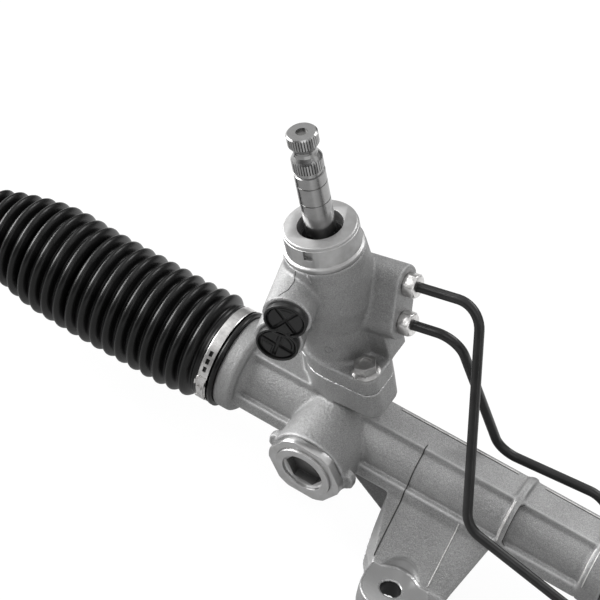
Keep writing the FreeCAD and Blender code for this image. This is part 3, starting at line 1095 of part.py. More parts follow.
def line_nut(tag, face):
    """A tube nut: thread in the port, hexagon outside, the line through it."""
    inside = face.multiply(Placement(Vector(0, 0, -NUMBER["nut_thread_len"]), Rotation()))
    head = hexagon(f"nut_head_{tag}", "nut_flats", "nut_head", face)
    collar = turned(f"nut_collar_{tag}", [
        ("0", "0"), ("nut_flats / 2", "0"), ("nut_flats / 2 + 0.9", "1.2"), ("nut_flats / 2 + 0.9", "nut_head - 1.2"),
        ("nut_flats / 2 - 0.4", "nut_head"), ("0", "nut_head")], face)
    thread = rod(f"nut_thread_{tag}", "nut_thread_r", "nut_thread_len + 1", inside)
    bore = rod(f"nut_bore_{tag}", "pipe_r + fit_gap", "nut_thread_len + nut_head + 4",
               inside.multiply(Placement(Vector(0, 0, -2), Rotation())))
    return less(f"line_nut_{tag}", joined(f"nut_{tag}", [shared(f"nut_crown_{tag}", [head, collar]), thread]), [bore])


def lines():
    upper = line_place("line_high_back", "line_high", "line_reach")
    lower = line_place("line_low_back", "line_low", "line_reach")
    near, far = NEAR_PORT[0], FAR_PORT[0]
    inset = -NUMBER["nut_thread_len"] + 2
    front_reach = -NUMBER["front_line_reach"]
    over = Vector(NUMBER["front_line_at"], front_reach, NUMBER["front_line_up"])
    below = Vector(number("socket_at + front_line_beyond"), front_reach, -NUMBER["far_port_down"])
    behind = Vector(NUMBER["back_line_at"], NUMBER["near_port_back"], NUMBER["back_line_up"])
    front = [port_axis_point(upper, inset), port_axis_point(upper, NUMBER["line_upper_out"]), DATUM + over,
             DATUM + below, port_axis_point(far, NUMBER["line_stub"]), port_axis_point(far, inset)]
    back = [port_axis_point(lower, inset), port_axis_point(lower, NUMBER["line_lower_out"]), DATUM + behind,
            port_axis_point(near, NUMBER["line_stub"]), port_axis_point(near, inset)]
    steel_line("front_line", front)
    steel_line("back_line", back)
    group = doc.addObject("Part::Compound", "line_nuts")
    group.Links = [line_nut("upper", upper), line_nut("lower", lower), line_nut("near", near), line_nut("far", far)]
    node("line_nuts", group)


def build():
    rack_housing()
    end_housing()
    cylinder_tube()
    valve_housing()
    valve_collar()
    valve_bolts()
    input_seal()
    input_bearing()
    port_plug()
    input_shaft()
    torsion_bar()
    valve_sleeve()
    sleeve_rings()
    pinion()
    pinion_bearings()
    rack_bar()
    rack_parts()
    yoke_parts()
    for side, tag in ((-1, "left"), (1, "right")):
        ball_joint(side, tag)
        bellows(side, tag)
    lines()


build()
doc.recompute()
failed = [item.Label for item in doc.Objects if "Invalid" in item.State or "Error" in item.State]
if failed:
    raise RuntimeError("these did not build: " + ", ".join(failed))
os.makedirs("parts", exist_ok=True)
for item in NODES:
    if item.Shape.isNull() or not item.Shape.isValid():
        raise RuntimeError(f"{item.Label} has no valid shape")
    item.Shape.exportStep(f"parts/{item.Label}.step")
    print(item.Label, len(item.Shape.Solids), round(item.Shape.Volume / 1000, 2))
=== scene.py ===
# %% [markdown]
# # A hydraulic steering rack, dressed for the camera
# This lesson keeps the parts whose shape is right and gives them a finish, and it
# replaces the ones that need softer or finer forms: the castings, the bellows, their
# bands and the shipping plug.

# %% The frame
import json
import math
import bmesh
import bpy
import numpy as np
from mathutils import Matrix, Vector


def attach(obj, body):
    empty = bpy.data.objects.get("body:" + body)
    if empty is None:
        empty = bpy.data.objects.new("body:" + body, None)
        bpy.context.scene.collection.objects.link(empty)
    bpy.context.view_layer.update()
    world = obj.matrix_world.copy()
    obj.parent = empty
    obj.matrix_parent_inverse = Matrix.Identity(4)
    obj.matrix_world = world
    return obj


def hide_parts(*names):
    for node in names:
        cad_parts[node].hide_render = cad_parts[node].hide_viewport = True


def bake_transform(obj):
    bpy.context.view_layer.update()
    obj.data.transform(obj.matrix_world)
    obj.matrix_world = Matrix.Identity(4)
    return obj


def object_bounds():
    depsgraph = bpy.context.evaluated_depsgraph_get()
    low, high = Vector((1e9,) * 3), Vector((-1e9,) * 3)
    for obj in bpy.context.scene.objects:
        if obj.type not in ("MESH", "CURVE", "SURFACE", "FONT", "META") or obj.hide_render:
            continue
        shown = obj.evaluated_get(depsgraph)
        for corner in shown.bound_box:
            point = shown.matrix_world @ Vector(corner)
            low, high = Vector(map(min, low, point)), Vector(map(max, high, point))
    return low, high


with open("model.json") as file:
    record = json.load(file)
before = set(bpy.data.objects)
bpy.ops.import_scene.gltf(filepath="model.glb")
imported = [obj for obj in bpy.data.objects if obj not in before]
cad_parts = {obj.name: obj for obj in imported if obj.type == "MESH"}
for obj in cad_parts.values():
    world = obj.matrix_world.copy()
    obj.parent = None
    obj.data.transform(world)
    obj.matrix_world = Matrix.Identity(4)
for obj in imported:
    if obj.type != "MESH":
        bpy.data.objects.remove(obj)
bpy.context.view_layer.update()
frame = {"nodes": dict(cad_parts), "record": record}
nodes = frame["nodes"]

# %% [markdown]
# The gear has three working directions: the rack runs along X, the pinion leans two ways,
# and the rack guide looks forward and down. A small frame for each lets every shape be
# written in its own plain numbers. Lengths in this lesson are millimetres until a mesh is
# made.

# %% Three frames to build in
RACK_CENTRE = np.array([-82.2, 59.8, 66.0])
LEAN = math.radians(15.5)
TILT = math.radians(16.0)
PINION_BASE = np.array([-82.2, 75.577, 70.375])
HOUSING_LEFT, HOUSING_RIGHT = -95.0, 488.0


def frame_of(origin, x_axis, y_axis):
    """Four by four matrix whose columns are the axes and the origin; Z is X cross Y."""
    made = np.eye(4)
    made[:3, 0], made[:3, 1] = x_axis, y_axis
    made[:3, 2] = np.cross(x_axis, y_axis)
    made[:3, 3] = origin
    return made


def placed(points, place):
    """Points carried by a frame: turned by its axes, then moved to its origin."""
    return np.asarray(points, float) @ place[:3, :3].T + place[:3, 3]


lean_y = np.array([0.0, math.cos(LEAN), math.sin(LEAN)])
lean_z = np.array([0.0, -math.sin(LEAN), math.cos(LEAN)])
pinion_x = math.cos(TILT) * np.array([1.0, 0.0, 0.0]) + math.sin(TILT) * lean_z
PINION = frame_of(PINION_BASE, pinion_x, lean_y)
YOKE = frame_of(RACK_CENTRE, np.array([1.0, 0.0, 0.0]), lean_z)
PORT_TURN = math.radians(16.4)
port_x = math.cos(PORT_TURN) * PINION[:3, 0] + math.sin(PORT_TURN) * PINION[:3, 1]
PORT = frame_of(PINION_BASE, port_x, PINION[:3, 2])
print("pinion axis", PINION[:3, 2].round(4), "guide axis", YOKE[:3, 2].round(4))

# %% [markdown]
# Every new piece is a surface on a grid: rows of points along one parameter, columns along
# the other. One helper turns such a grid into faces, joined end to end where it is a ring,
# and closed at its ends where it is a solid.

# %% From grids to meshes


def grid_faces(rows, columns, ring_rows=False, ring_columns=False):
    """Four-cornered faces between neighbours of a grid; a ring joins the last line to the first."""
    last_row = rows if ring_rows else rows - 1
    last_column = columns if ring_columns else columns - 1
    i, j = np.meshgrid(np.arange(last_row), np.arange(last_column), indexing="ij")
    down, right = (i + 1) % rows, (j + 1) % columns
    return np.stack([i * columns + j, down * columns + j, down * columns + right, i * columns + right],
                    axis=-1).reshape(-1, 4)


def mesh_piece(name, points, faces, smooth=True):
    """An object at the origin from points in millimetres and a list of faces."""
    mesh = bpy.data.meshes.new(name)
    mesh.from_pydata((np.asarray(points) / 1000.0).tolist(), [], [list(map(int, f)) for f in faces])
    mesh.validate()
    mesh.polygons.foreach_set("use_smooth", np.full(len(mesh.polygons), smooth))
    piece = bpy.data.objects.new(name, mesh)
    bpy.context.scene.collection.objects.link(piece)
    return piece


def outward(piece, merge=1e-6):
    """Doubles merged and faces turned outwards, for a closed shell."""
    shell = bmesh.new()
    shell.from_mesh(piece.data)
    bmesh.ops.remove_doubles(shell, verts=shell.verts, dist=merge)
    bmesh.ops.recalc_face_normals(shell, faces=shell.faces)
    shell.to_mesh(piece.data)
    shell.free()
    return piece


def spin(profile, place, around=96):
    """A closed line of radius and height turned about Z: x = r cos a, y = r sin a, z = h, then placed."""
    profile = np.asarray(profile, float)
    angle = np.linspace(0.0, 2 * math.pi, around, endpoint=False)
    radius, height = profile[:, 0:1], profile[:, 1:2]
    points = np.stack([radius * np.cos(angle), radius * np.sin(angle), height + 0 * angle], axis=-1)
    faces = grid_faces(len(profile), around, ring_rows=True, ring_columns=True)
    return placed(points.reshape(-1, 3), place), faces


def prism(corners, low, high, place):
    """A flat outline pushed from one height to another, with both ends closed."""
    corners = np.asarray(corners, float)
    count = len(corners)
    both = np.concatenate([np.column_stack([corners, np.full(count, h)]) for h in (low, high)])
    sides = grid_faces(2, count, ring_columns=True)
    return placed(both, place), [*sides.tolist(), list(range(count))[::-1], list(range(count, 2 * count))]


def together(parts):
    """Several closed shells as one list of points and one list of faces."""
    points, faces, offset = [], [], 0
    for part_points, part_faces in parts:
        points.append(np.asarray(part_points))
        faces += [[index + offset for index in face] for face in part_faces]
        offset += len(part_points)
    return np.concatenate(points), faces


test_points, test_faces = spin([(1, 0), (2, 0), (2, 1), (1, 1)], np.eye(4), 12)
print("a turned ring has", len(test_points), "points and", len(test_faces), "faces")

# %% [markdown]
# Finishes are written as arithmetic. A wire stands for one socket, and adding, multiplying
# or subtracting wires adds the Math nodes that do it. Colours are blended with Mix nodes,
# because a Math node would turn them grey.

# %% Shader arithmetic


class Wire:
    """One socket of a material; arithmetic on it adds Math nodes to the same material."""

    def __init__(self, recipe, socket):
        self.recipe, self.socket = recipe, socket

    def math(self, operation, *values):
        """A Math node on this wire and the given wires or numbers."""
        inputs = dict(enumerate((self, *values)))
        return self.recipe.add("ShaderNodeMath", {"operation": operation}, inputs)

    def __add__(self, other):
        return self.math("ADD", other)

    def __mul__(self, other):
        return self.math("MULTIPLY", other)

    def __sub__(self, other):
        return self.math("SUBTRACT", other)

    def __rsub__(self, other):
        return self.recipe.add("ShaderNodeMath", {"operation": "SUBTRACT"}, {0: other, 1: self})

    def __pow__(self, other):
        return self.math("POWER", other)

    __radd__ = __add__
    __rmul__ = __mul__

    def clamp(self):
        """Held between nothing and one."""
        return self.recipe.add("ShaderNodeClamp", {}, {0: self})


class Recipe:
    """A material or a world under construction: its node tree, its shader and its coordinates."""

    def __init__(self, name, library=None, shader="Principled BSDF", coordinates="Object"):
        self.material = (bpy.data.materials if library is None else library).new(name)
        self.material.use_nodes = True
        self.tree = self.material.node_tree
        self.shader = self.tree.nodes[shader]
        self.place = self.add("ShaderNodeTexCoord", {}, {}, coordinates)

    def add(self, kind, settings=None, inputs=None, output=0):
        """A node of this type, its settings made first, then the values or links of its sockets."""
        node = self.tree.nodes.new(kind)
        for key, value in (settings or {}).items():
            if key == "stops":
                while len(node.color_ramp.elements) < len(value):
                    node.color_ramp.elements.new(0.5)
                for element, (at, level) in zip(node.color_ramp.elements, value):
                    element.position, element.color = at, (level, level, level, 1)
            else:
                setattr(node, key, value)
        for key, value in (inputs or {}).items():
            if isinstance(value, Wire):
                self.tree.links.new(value.socket, node.inputs[key])
            else:
                node.inputs[key].default_value = value
        return Wire(self, node.outputs[output])

    def noise(self, scale, detail=2.0, roughness=0.5, vector=None):
        """Noise between nothing and one; its grain is about one metre divided by the scale."""
        return self.add("ShaderNodeTexNoise", {}, {
            "Vector": vector or self.place, "Scale": scale, "Detail": detail, "Roughness": roughness})

    def ramp(self, value, *stops):
        """A value read from one scale to another, by stops of a place and a level each."""
        return self.add("ShaderNodeValToRGB", {"stops": stops}, {0: value})

    def blend(self, factor, first, second):
        """Colour between two colours by a factor."""
        return self.add("ShaderNodeMix", {"data_type": "RGBA"}, {0: factor, 6: first, 7: second}, 2)

    def vector(self, operation, *values, output=0):
        """Arithmetic on whole vectors; a length or a dot product comes from output 1."""
        return self.add("ShaderNodeVectorMath", {"operation": operation}, dict(enumerate(values)), output)

    def attribute(self, name):
        """A number that the mesh carries at each of its points."""
        return self.add("ShaderNodeAttribute", {"attribute_name": name}, {}, "Fac")

    def rise(self, value, low, high):
        """Nothing below one value, one above another, and a smooth rise between."""
        smooth = {"interpolation_type": "SMOOTHSTEP"}
        return self.add("ShaderNodeMapRange", smooth, {0: value, 1: low, 2: high})

    def step(self, axis, low, high):
        """A smooth rise between two places on an axis."""
        return self.rise(self.add("ShaderNodeSeparateXYZ", {}, {0: self.place}, axis), low, high)

    def bump(self, height, distance, strength=1.0):
        """A fine relief: its height, and how deep in metres one unit of it is."""
        return self.add("ShaderNodeBump", {}, {"Height": height, "Distance": distance, "Strength": strength})

    def set(self, **values):
        """Sockets of the shader by name, with spaces written as underscores."""
        for key, value in values.items():
            socket = self.shader.inputs[key.replace("_", " ")]
            if isinstance(value, Wire):
                self.tree.links.new(value.socket, socket)
            else:
                socket.default_value = value
        return self.material

    def along(self, base, axis):
        """Height along an axis and distance from it, both in metres, at each point of the piece."""
        away = self.vector("SUBTRACT", self.place, tuple(base / 1000.0))
        height = self.vector("DOT_PRODUCT", away, tuple(axis), output=1)
        foot = self.add("ShaderNodeVectorMath", {"operation": "SCALE"}, {0: tuple(axis), "Scale": height})
        reach = self.vector("LENGTH", self.vector("SUBTRACT", away, foot), output=1)
        return height, reach


def grey(level, warm=0.0):
    """A near-neutral colour with its opaque alpha."""
    return (level * (1 + warm), level, level * (1 - warm), 1.0)


print("shader arithmetic ready")

# %% [markdown]
# ## Cast aluminium
# Sand casting leaves a fine grainy skin with faint cloudy patches. Where a cutter has been,
# the metal is brighter and smoother. The grain is noise in the piece's own coordinates,
# about a millimetre across. Three attributes of the mesh say where the cutter went, which
# edges are rubbed bright and carry a painted highlight, and which corners carry painted shade.

# %% Cast skin


def cast_skin():
    """Grey clouds, dark specks, bright glints; a painted highlight on rubbed edges, painted shade in corners;
    even where cut.
    """
    recipe = Recipe("cast_aluminium")
    machined = recipe.attribute("machined")
    fine = recipe.noise(1500, 4, 0.65)
    coarse = recipe.noise(420, 3, 0.55)
    cloud = recipe.noise(38, 4, 0.6)
    skin = recipe.blend(recipe.ramp(cloud, (0.3, 0), (0.72, 1)), grey(0.29), grey(0.38))
    speck = recipe.blend(recipe.ramp(fine, (0.34, 1), (0.50, 0)) * 0.42, skin, grey(0.13))
    glint = recipe.blend(recipe.ramp(fine, (0.52, 0), (0.68, 1)) * 0.40, speck, grey(0.66))
    # Edges are rubbed bright, and the same lighter grey on them is also a painted highlight.
    worn_and_highlit = recipe.blend(recipe.attribute("edge") * 0.75, glint, grey(0.72))
    cleaned = recipe.blend(machined, worn_and_highlit, grey(0.43))
    # Painted shade: a near-black grey in corners, in the web beside the leg and in the foot's bore.
    colour = recipe.blend(recipe.attribute("crevice") * 0.80, cleaned, grey(0.045))
    rough = (0.46 + cloud * 0.16) * (1 - machined) + machined * 0.30 - recipe.attribute("edge") * 0.12
    cut = recipe.noise(900, 1, 0.4, recipe.vector("MULTIPLY", recipe.place, (0.12, 1.0, 1.0)))
    grain = (fine * 0.55 + coarse * 0.8) * (1 - machined) + cut * machined * 0.12
    return recipe.set(Base_Color=colour, Roughness=rough, Metallic=0.62,
                      Normal=recipe.bump(grain, 0.0007, 0.75))


CAST = cast_skin()
print("cast skin has", len(CAST.node_tree.nodes), "nodes")

# %% [markdown]
# ## Bright metals
# The collar is turned on a lathe, so its marks are rings about the pinion axis. The input
# shaft is ground and shines more. An image could hold such rings, but it would need every
# surface unwrapped. Here the finish reads height and distance from the piece's own axis, so
# the rings are true on flat faces and round ones alike. Plated nuts, bolts and clamps have a
# soft patchy shine with fine pits, and that is plain noise.

# %% Turned, ground and plated metal


def turned_metal(name, level, rough, pitch, depth, base=PINION_BASE, axis=PINION[:3, 2], well=None):
    """Rings by height and radius: the sine of both over the pitch of the cut.

    A well is a hole with painted shade below its rim: its floor's height, its edge's height and its radius.
    """
    recipe = Recipe(name)
    height, reach = recipe.along(base, axis)
    rings = ((height + reach) * (2 * math.pi * 1000 / pitch)).math("SINE")
    stain = recipe.noise(170, 4, 0.6)
    streak = recipe.noise(1.0, 3, 0.6, recipe.add(
        "ShaderNodeCombineXYZ", {}, {0: height * 5200, 1: reach * 5200, 2: 0.0}))
    colour = recipe.blend(recipe.ramp(stain, (0.35, 0), (0.75, 1)), grey(level), grey(level * 0.84, 0.01))
    if well:
        bottom, rim, width = well
        # Painted shade: near-black grey inside the hole, below its rim.
        inside = (1 - recipe.rise(height, bottom, rim)) * (1 - recipe.rise(reach, width, width + 0.0005))
        colour = recipe.blend(inside * 0.72, colour, grey(0.04))
    shine = rough + streak * 0.16 + stain * 0.05
    return recipe.set(Base_Color=colour, Roughness=shine, Metallic=1.0,
                      Normal=recipe.bump(rings * 0.5 + streak, depth, 0.35))


def plated(name, level, rough, warm=0.012):
    """A bright metal, duller in patches of some millimetres, with pits of half a millimetre."""
    recipe = Recipe(name)
    patch = recipe.noise(240, 5, 0.62)
    pit = recipe.noise(1900, 2, 0.5)
    dull = recipe.ramp(patch, (0.38, 0), (0.66, 1))
    colour = recipe.blend(dull, grey(level, warm), grey(level * 0.72, warm))
    return recipe.set(Base_Color=colour, Roughness=rough + patch * 0.22, Metallic=1.0,
                      Normal=recipe.bump(pit * 0.6 + patch, 0.00012, 0.4))


COLLAR = turned_metal("machined_aluminium", 0.47, 0.36, 0.42, 0.00002)
STEEL = turned_metal("ground_steel", 0.36, 0.13, 0.9, 0.00001)
# The guide plug's hex socket gets painted shade.
HEX_SOCKET_SHADE = (0.0425, 0.0500, 0.0141)
GUIDE = turned_metal("guide_metal", 0.58, 0.24, 0.5, 0.00003, RACK_CENTRE, YOKE[:3, 2], HEX_SOCKET_SHADE)
ROD = turned_metal("rod_steel", 0.42, 0.26, 0.7, 0.00002, RACK_CENTRE, np.array([1.0, 0.0, 0.0]))
ZINC = plated("zinc_steel", 0.78, 0.20)
BOLT = plated("bolt_steel", 0.46, 0.27)
SPRING = plated("spring_steel", 0.22, 0.32)
# Two colours for thin raised lines on the castings: a dark one is painted shade, a light one a painted
# highlight.
SHADE_LINE = plated("painted_shade_line", 0.10, 0.50)
HIGHLIGHT_LINE = plated("painted_highlight_line", 0.90, 0.45)
print("metals:", [m.name for m in (COLLAR, STEEL, GUIDE, ROD, ZINC, BOLT, SPRING)])

# %% [markdown]
# ## Black finishes
# Three blacks lie side by side here: moulded rubber with a satin sheen, hard moulded
# plastic, and enamel on steel with an orange-peel surface. Only their roughness and their
# fine relief tell them apart, so each gets its own.

# %% Rubber, plastic and enamel


def black(name, level, rough, spread, scale, depth, coat=0.0, lift=2.2):
    """Dark base with a noisy roughness and a fine relief of the given scale."""
    recipe = Recipe(name)
    fine = recipe.noise(scale, 4, 0.6)
    wide = recipe.noise(60, 3, 0.5)
    dust = recipe.blend(recipe.ramp(wide, (0.42, 0), (0.8, 1)), grey(level), grey(level * lift))
    return recipe.set(Base_Color=dust, Roughness=rough + wide * spread, Metallic=0.0, Coat_Weight=coat,
                      Specular_IOR_Level=0.36, Normal=recipe.bump(fine, depth, 0.4))


RUBBER = black("bellows_rubber", 0.0018, 0.28, 0.06, 1100, 0.00004, lift=1.5)
SEAL = black("seal_rubber", 0.010, 0.45, 0.15, 900, 0.0001)
PLASTIC = black("black_plastic", 0.009, 0.30, 0.15, 700, 0.00012)
ENAMEL = black("black_line", 0.010, 0.34, 0.10, 300, 0.00008, coat=0.15)
TUBE = black("cylinder_steel", 0.012, 0.28, 0.12, 260, 0.0001, coat=0.4)


def bearing_plastic():
    """Two tans that run into each other."""
    recipe = Recipe("bearing_plastic")
    swirl = recipe.noise(140, 5, 0.6)
    return recipe.set(Base_Color=recipe.blend(swirl, (0.42, 0.36, 0.25, 1), (0.56, 0.50, 0.37, 1)),
                      Roughness=0.4 + swirl * 0.2, Normal=recipe.bump(swirl, 0.0001, 0.3))


BEARING = bearing_plastic()
RING = black("ring_plastic", 0.03, 0.35, 0.1, 500, 0.0001)
print("blacks ready")

# %% [markdown]
# ## Castings with soft edges
# A casting has a fillet at every inner corner, and the CAD model keeps those corners sharp.
# Bevels can't follow so many crossing forms, so each casting is copied with its extra
# shells, and the Remesh modifier rebuilds its surface as small even squares. A skin with
# more triangles than one mesh may hold loses some where that shows least.

# %% Copies rebuilt as even squares


def closed_copy(name, node_names, extra=()):
    """CAD nodes copied into one mesh with doubled corners merged, and extra closed shells added."""
    shell = bmesh.new()
    for node_name in node_names:
        shell.from_mesh(nodes[node_name].data)
    bmesh.ops.remove_doubles(shell, verts=shell.verts, dist=1e-6)
    mesh = bpy.data.meshes.new(name)
    shell.to_mesh(mesh)
    shell.free()
    piece = bpy.data.objects.new(name, mesh)
    bpy.context.scene.collection.objects.link(piece)
    if extra:
        joined = outward(mesh_piece(name + "_extra", *together(extra)))
        both = bmesh.new()
        both.from_mesh(piece.data)
        both.from_mesh(joined.data)
        both.to_mesh(piece.data)
        both.free()
        bpy.data.objects.remove(joined)
    return piece


def applied(piece):
    """The piece with its modifiers worked into its mesh."""
    graph = bpy.context.evaluated_depsgraph_get()
    made = bpy.data.meshes.new_from_object(piece.evaluated_get(graph))
    piece.modifiers.clear()
    piece.data = made
    return piece


def rebuilt(piece, voxel):
    """The piece's surface as even squares of the given size in millimetres."""
    modifier = piece.modifiers.new("squares", "REMESH")
    modifier.mode = "VOXEL"
    modifier.voxel_size = voxel / 1000.0
    return applied(piece)


def thinned(piece, most=190000):
    """Triangles taken out where the skin is flat, down to a number that the mesh may hold."""
    count = sum(len(face.vertices) - 2 for face in piece.data.polygons)
    if count > most:
        modifier = piece.modifiers.new("fewer", "DECIMATE")
        modifier.ratio = most / count
        applied(piece)
    return piece


print("the main casting comes with", len(nodes["rack_housing"].data.polygons), "CAD faces")

# %% [markdown]
# Then every point is pulled towards the mean of its neighbours, a few times over. That
# rounds the edges and fills the corners, as sand does. Each point has a freedom: faces that
# a cutter made have nearly none, so they stay flat and crisp.

# %% Relaxed points
RELAX_STEP = 0.55


def mesh_points(piece):
    """All points of a mesh as an array in millimetres."""
    flat = np.empty(len(piece.data.vertices) * 3, dtype=np.float32)
    piece.data.vertices.foreach_get("co", flat)
    return flat.reshape(-1, 3).astype(float) * 1000.0


def put_points(piece, points):
    """Points in millimetres written back to the mesh."""
    piece.data.vertices.foreach_set("co", (points / 1000.0).astype(np.float32).ravel())
    piece.data.update()


def neighbour_mean(mesh):
    """A function that gives, for an array of points, the mean of each point's neighbours."""
    edges = np.empty(len(mesh.edges) * 2, dtype=np.int32)
    mesh.edges.foreach_get("vertices", edges)
    start, stop = edges.reshape(-1, 2).T
    count = len(mesh.vertices)
    links = (np.bincount(start, minlength=count) + np.bincount(stop, minlength=count))[:, None]

    def mean(points):
        total = np.column_stack([np.bincount(start, points[stop, k], count)
                                 + np.bincount(stop, points[start, k], count) for k in range(3)])
        return total / np.maximum(links, 1)

    return mean


def relaxed(piece, freedom, rounds):
    """Each point moves towards the mean of its neighbours by a step times its freedom, some rounds."""
    points, mean = mesh_points(piece), neighbour_mean(piece.data)
    for _ in range(rounds):
        points += RELAX_STEP * freedom[:, None] * (mean(points) - points)
    piece.data.polygons.foreach_set("use_smooth", np.full(len(piece.data.polygons), True))
    put_points(piece, points)
    return piece


print("a free point goes", RELAX_STEP, "of the way to its neighbours' mean in each round")

# %% [markdown]
# How far a point stands out of its neighbours tells the edges, which handling rubs bright and
# which get a painted highlight, from the corners, which get painted shade. Both are painted on
# the points as numbers, beside the faces that were cut, and the cast finish reads all three.

# %% Cut faces, edges and corners


def local(points, place):
    """Points seen from a frame."""
    return (points - place[:3, 3]) @ place[:3, :3]


def near(value, target, width):
    """One up to half a width from the target, falling to nothing at one and a half."""
    return np.clip(1.5 - np.abs(value - target) / width, 0.0, 1.0)


def paint(piece, name, values):
    """A number on every point of the mesh, for a material to read."""
    layer = piece.data.attributes.new(name, "FLOAT", "POINT")
    layer.data.foreach_set("value", np.asarray(values, dtype=np.float32))


def bend(piece, gain=5.6, flat=0.16):
    """How far each point stands out of the mean of its neighbours along its normal, times a gain.

    The first result rises to one on convex edges, the second in concave corners, and what is
    below flat counts as flat.
    """
    points = mesh_points(piece)
    normals = np.empty(len(points) * 3, dtype=np.float32)
    piece.data.vertex_normals.foreach_get("vector", normals)
    away = points - neighbour_mean(piece.data)(points)
    out = (away * normals.reshape(-1, 3)).sum(axis=1) * gain
    return np.clip(out - flat, 0, 1), np.clip(-out - flat, 0, 1)


print("on a face, half a millimetre off and further:", near(np.array([0.0, 0.5, 0.75]), 0.0, 0.5))

# %% [markdown]
# All castings go the same way: rebuild, find the cut faces, relax, paint, thin.

# %% A casting from a CAD node


def plain(points):
    """No painted highlight and no painted shade of its own."""
    return np.zeros(len(points)), np.zeros(len(points))


def casting(name, node_name, voxel, rounds, cut_faces, extra=(), painted_light=plain):
    """A soft-edged copy of a cast node.

    cut_faces gives one on each point that a cutter made, and painted_light gives the painted
    highlight and the painted shade at each point, besides those of its edges and corners.
    """
    piece = rebuilt(closed_copy(name, [node_name], extra), voxel)
    machined = cut_faces(mesh_points(piece))
    relaxed(piece, 1 - 0.92 * machined, rounds)
    paint(piece, "machined", machined)
    edge, crevice = bend(piece)
    bright, dark = painted_light(mesh_points(piece))
    # The edge number is a rubbed edge and a painted highlight; the other number is painted shade.
    paint(piece, "edge", np.maximum(edge, bright))
    paint(piece, "crevice", np.maximum(crevice, dark))
    thinned(piece)
    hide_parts(node_name)
    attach(piece, "housing")
    piece.data.materials.clear()
    piece.data.materials.append(CAST)
    share = round(float((machined > 0.5).mean()) * 100, 1)
    print(name, len(piece.data.vertices), "points,", len(piece.data.polygons), "faces,", share, "% machined")
    return piece


# %% [markdown]
# Where two halves of a mould met, a casting keeps a fine raised line. A ridge is a thin
# closed tube that follows a path over the casting, each of its points dropped onto the
# nearest place of the skin, so that half of the tube stands out. A bump could darken such a
# line, but only real relief catches the light on one side.

# %% Mould lines


def ridge(name, host, path, radius=0.3, step=0.8, ring=False, material=CAST):
    """A thin tube of eight sides along a path in millimetres, half sunk in the host's skin."""
    path = np.asarray(path, float)
    run = np.concatenate([[0.0], np.cumsum(np.linalg.norm(np.diff(path, axis=0), axis=1))])
    at = np.linspace(0.0, run[-1], max(8, int(run[-1] / step)))
    line = np.column_stack([np.interp(at, run, path[:, k]) for k in range(3)])
    found = [host.closest_point_on_mesh(Vector(point / 1000.0)) for point in line]
    skin = np.array([tuple(hit[1]) for hit in found]) * 1000.0
    skin[1:-1] = (skin[:-2] + 2 * skin[1:-1] + skin[2:]) / 4
    normal = np.array([tuple(hit[2]) for hit in found])
    tangent = np.gradient(skin, axis=0)
    tangent /= np.linalg.norm(tangent, axis=1)[:, None] + 1e-9
    across = np.cross(tangent, normal)
    across /= np.linalg.norm(across, axis=1)[:, None] + 1e-9
    up = np.cross(across, tangent)
    taper = np.ones(len(skin)) if ring else np.clip(np.minimum(at, run[-1] - at) / 1.2, 0.05, 1.0)
    turn = np.linspace(0.0, 2 * math.pi, 8, endpoint=False)[None, :, None]
    round_about = across[:, None, :] * np.cos(turn) + up[:, None, :] * np.sin(turn)
    points = skin[:, None, :] + radius * taper[:, None, None] * round_about
    faces = grid_faces(len(skin), 8, ring_columns=True).tolist()
    last = 8 * (len(skin) - 1)
    caps = [list(range(8))[::-1], list(range(last, last + 8))]
    piece = outward(mesh_piece(name, points.reshape(-1, 3), faces + caps))
    piece.data.materials.append(material)
    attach(piece, "housing")
    return piece


# %% [markdown]
# ## The main casting
# Its foot has a spot face and a bored hole, its guide boss and its neck end in flat faces,
# a boot sits on its turned end, and the rest is left as cast. Heights on the tower run along
# the pinion axis, those of the guide boss along the guide axis, and those of the feet along
# Z. A point belongs to a cut face when its height there is near enough.

# %% Where the cutters went
NECK_TOP, TOWER_TOP, PORT_FACE, BOSS_FACE = 48.0, 137.0, 42.0, 43.5
FOOT_BORE_R, SPOT_R, SPOT_REACH, SPOT_HIGH = 6.9, 19.0, 24.0, 14.0
CUT_SEAT_LEFT, CUT_SEAT_RIGHT = 13.0, 13.5
print("spot face at", SPOT_HIGH, "mm, guide boss face at", BOSS_FACE, "mm from the rack axis")


def foot_cuts(points, foot_x):
    """The spot face with its round wall, and the bored hole, of the foot at a place along X."""
    radius, high = np.hypot(points[:, 0] - foot_x, points[:, 1]), points[:, 2]
    face = near(high, SPOT_HIGH, 0.5) * (radius < SPOT_REACH)
    wall = near(radius, SPOT_R, 0.5) * (high > SPOT_HIGH - 0.5) * (high < SPOT_HIGH + 12)
    bore = near(radius, FOOT_BORE_R, 0.5) * (high < SPOT_HIGH + 1)
    return face + wall + bore


def housing_cuts(points):
    """One on the foot's cut faces, the guide boss's face, the neck's top and the boot's seat."""
    yoke = local(points, YOKE)
    boss = near(yoke[:, 2], BOSS_FACE, 0.5) * (np.hypot(yoke[:, 0], yoke[:, 1]) < 24.5)
    pinion = local(points, PINION)
    pad = near(pinion[:, 2], NECK_TOP, 0.5) * (np.hypot(pinion[:, 0], pinion[:, 1]) < 48)
    seat = (points[:, 0] - RACK_CENTRE[0] < HOUSING_LEFT + CUT_SEAT_LEFT).astype(float)
    return np.clip(foot_cuts(points, 0.0) + boss + pad + seat, 0, 1)


# %% [markdown]
# The leg that carries the foot has a drafted left edge and swells above the foot. The CAD
# model's leg is plainer. Closed shells for the edge and the swell overlap it, and the remesh
# melts all of them into one skin.

# %% The leg
TUBE_FRONT = 34.3
LEG_TOP, LEG_FRONT, LEG_SLOPE, APRON_SLOPE = 52.0, TUBE_FRONT, 0.39, 0.55
LEG_LEFT, LEG_LEFT_LEAN, LEG_RIGHT, LEG_RIGHT_LEAN = -31.6, 15.0, 41.6, 13.0


def leg_left(drop):
    """The leg's left edge, a distance below its top: it leans in towards the foot."""
    return LEG_LEFT + LEG_LEFT_LEAN * drop / LEG_TOP


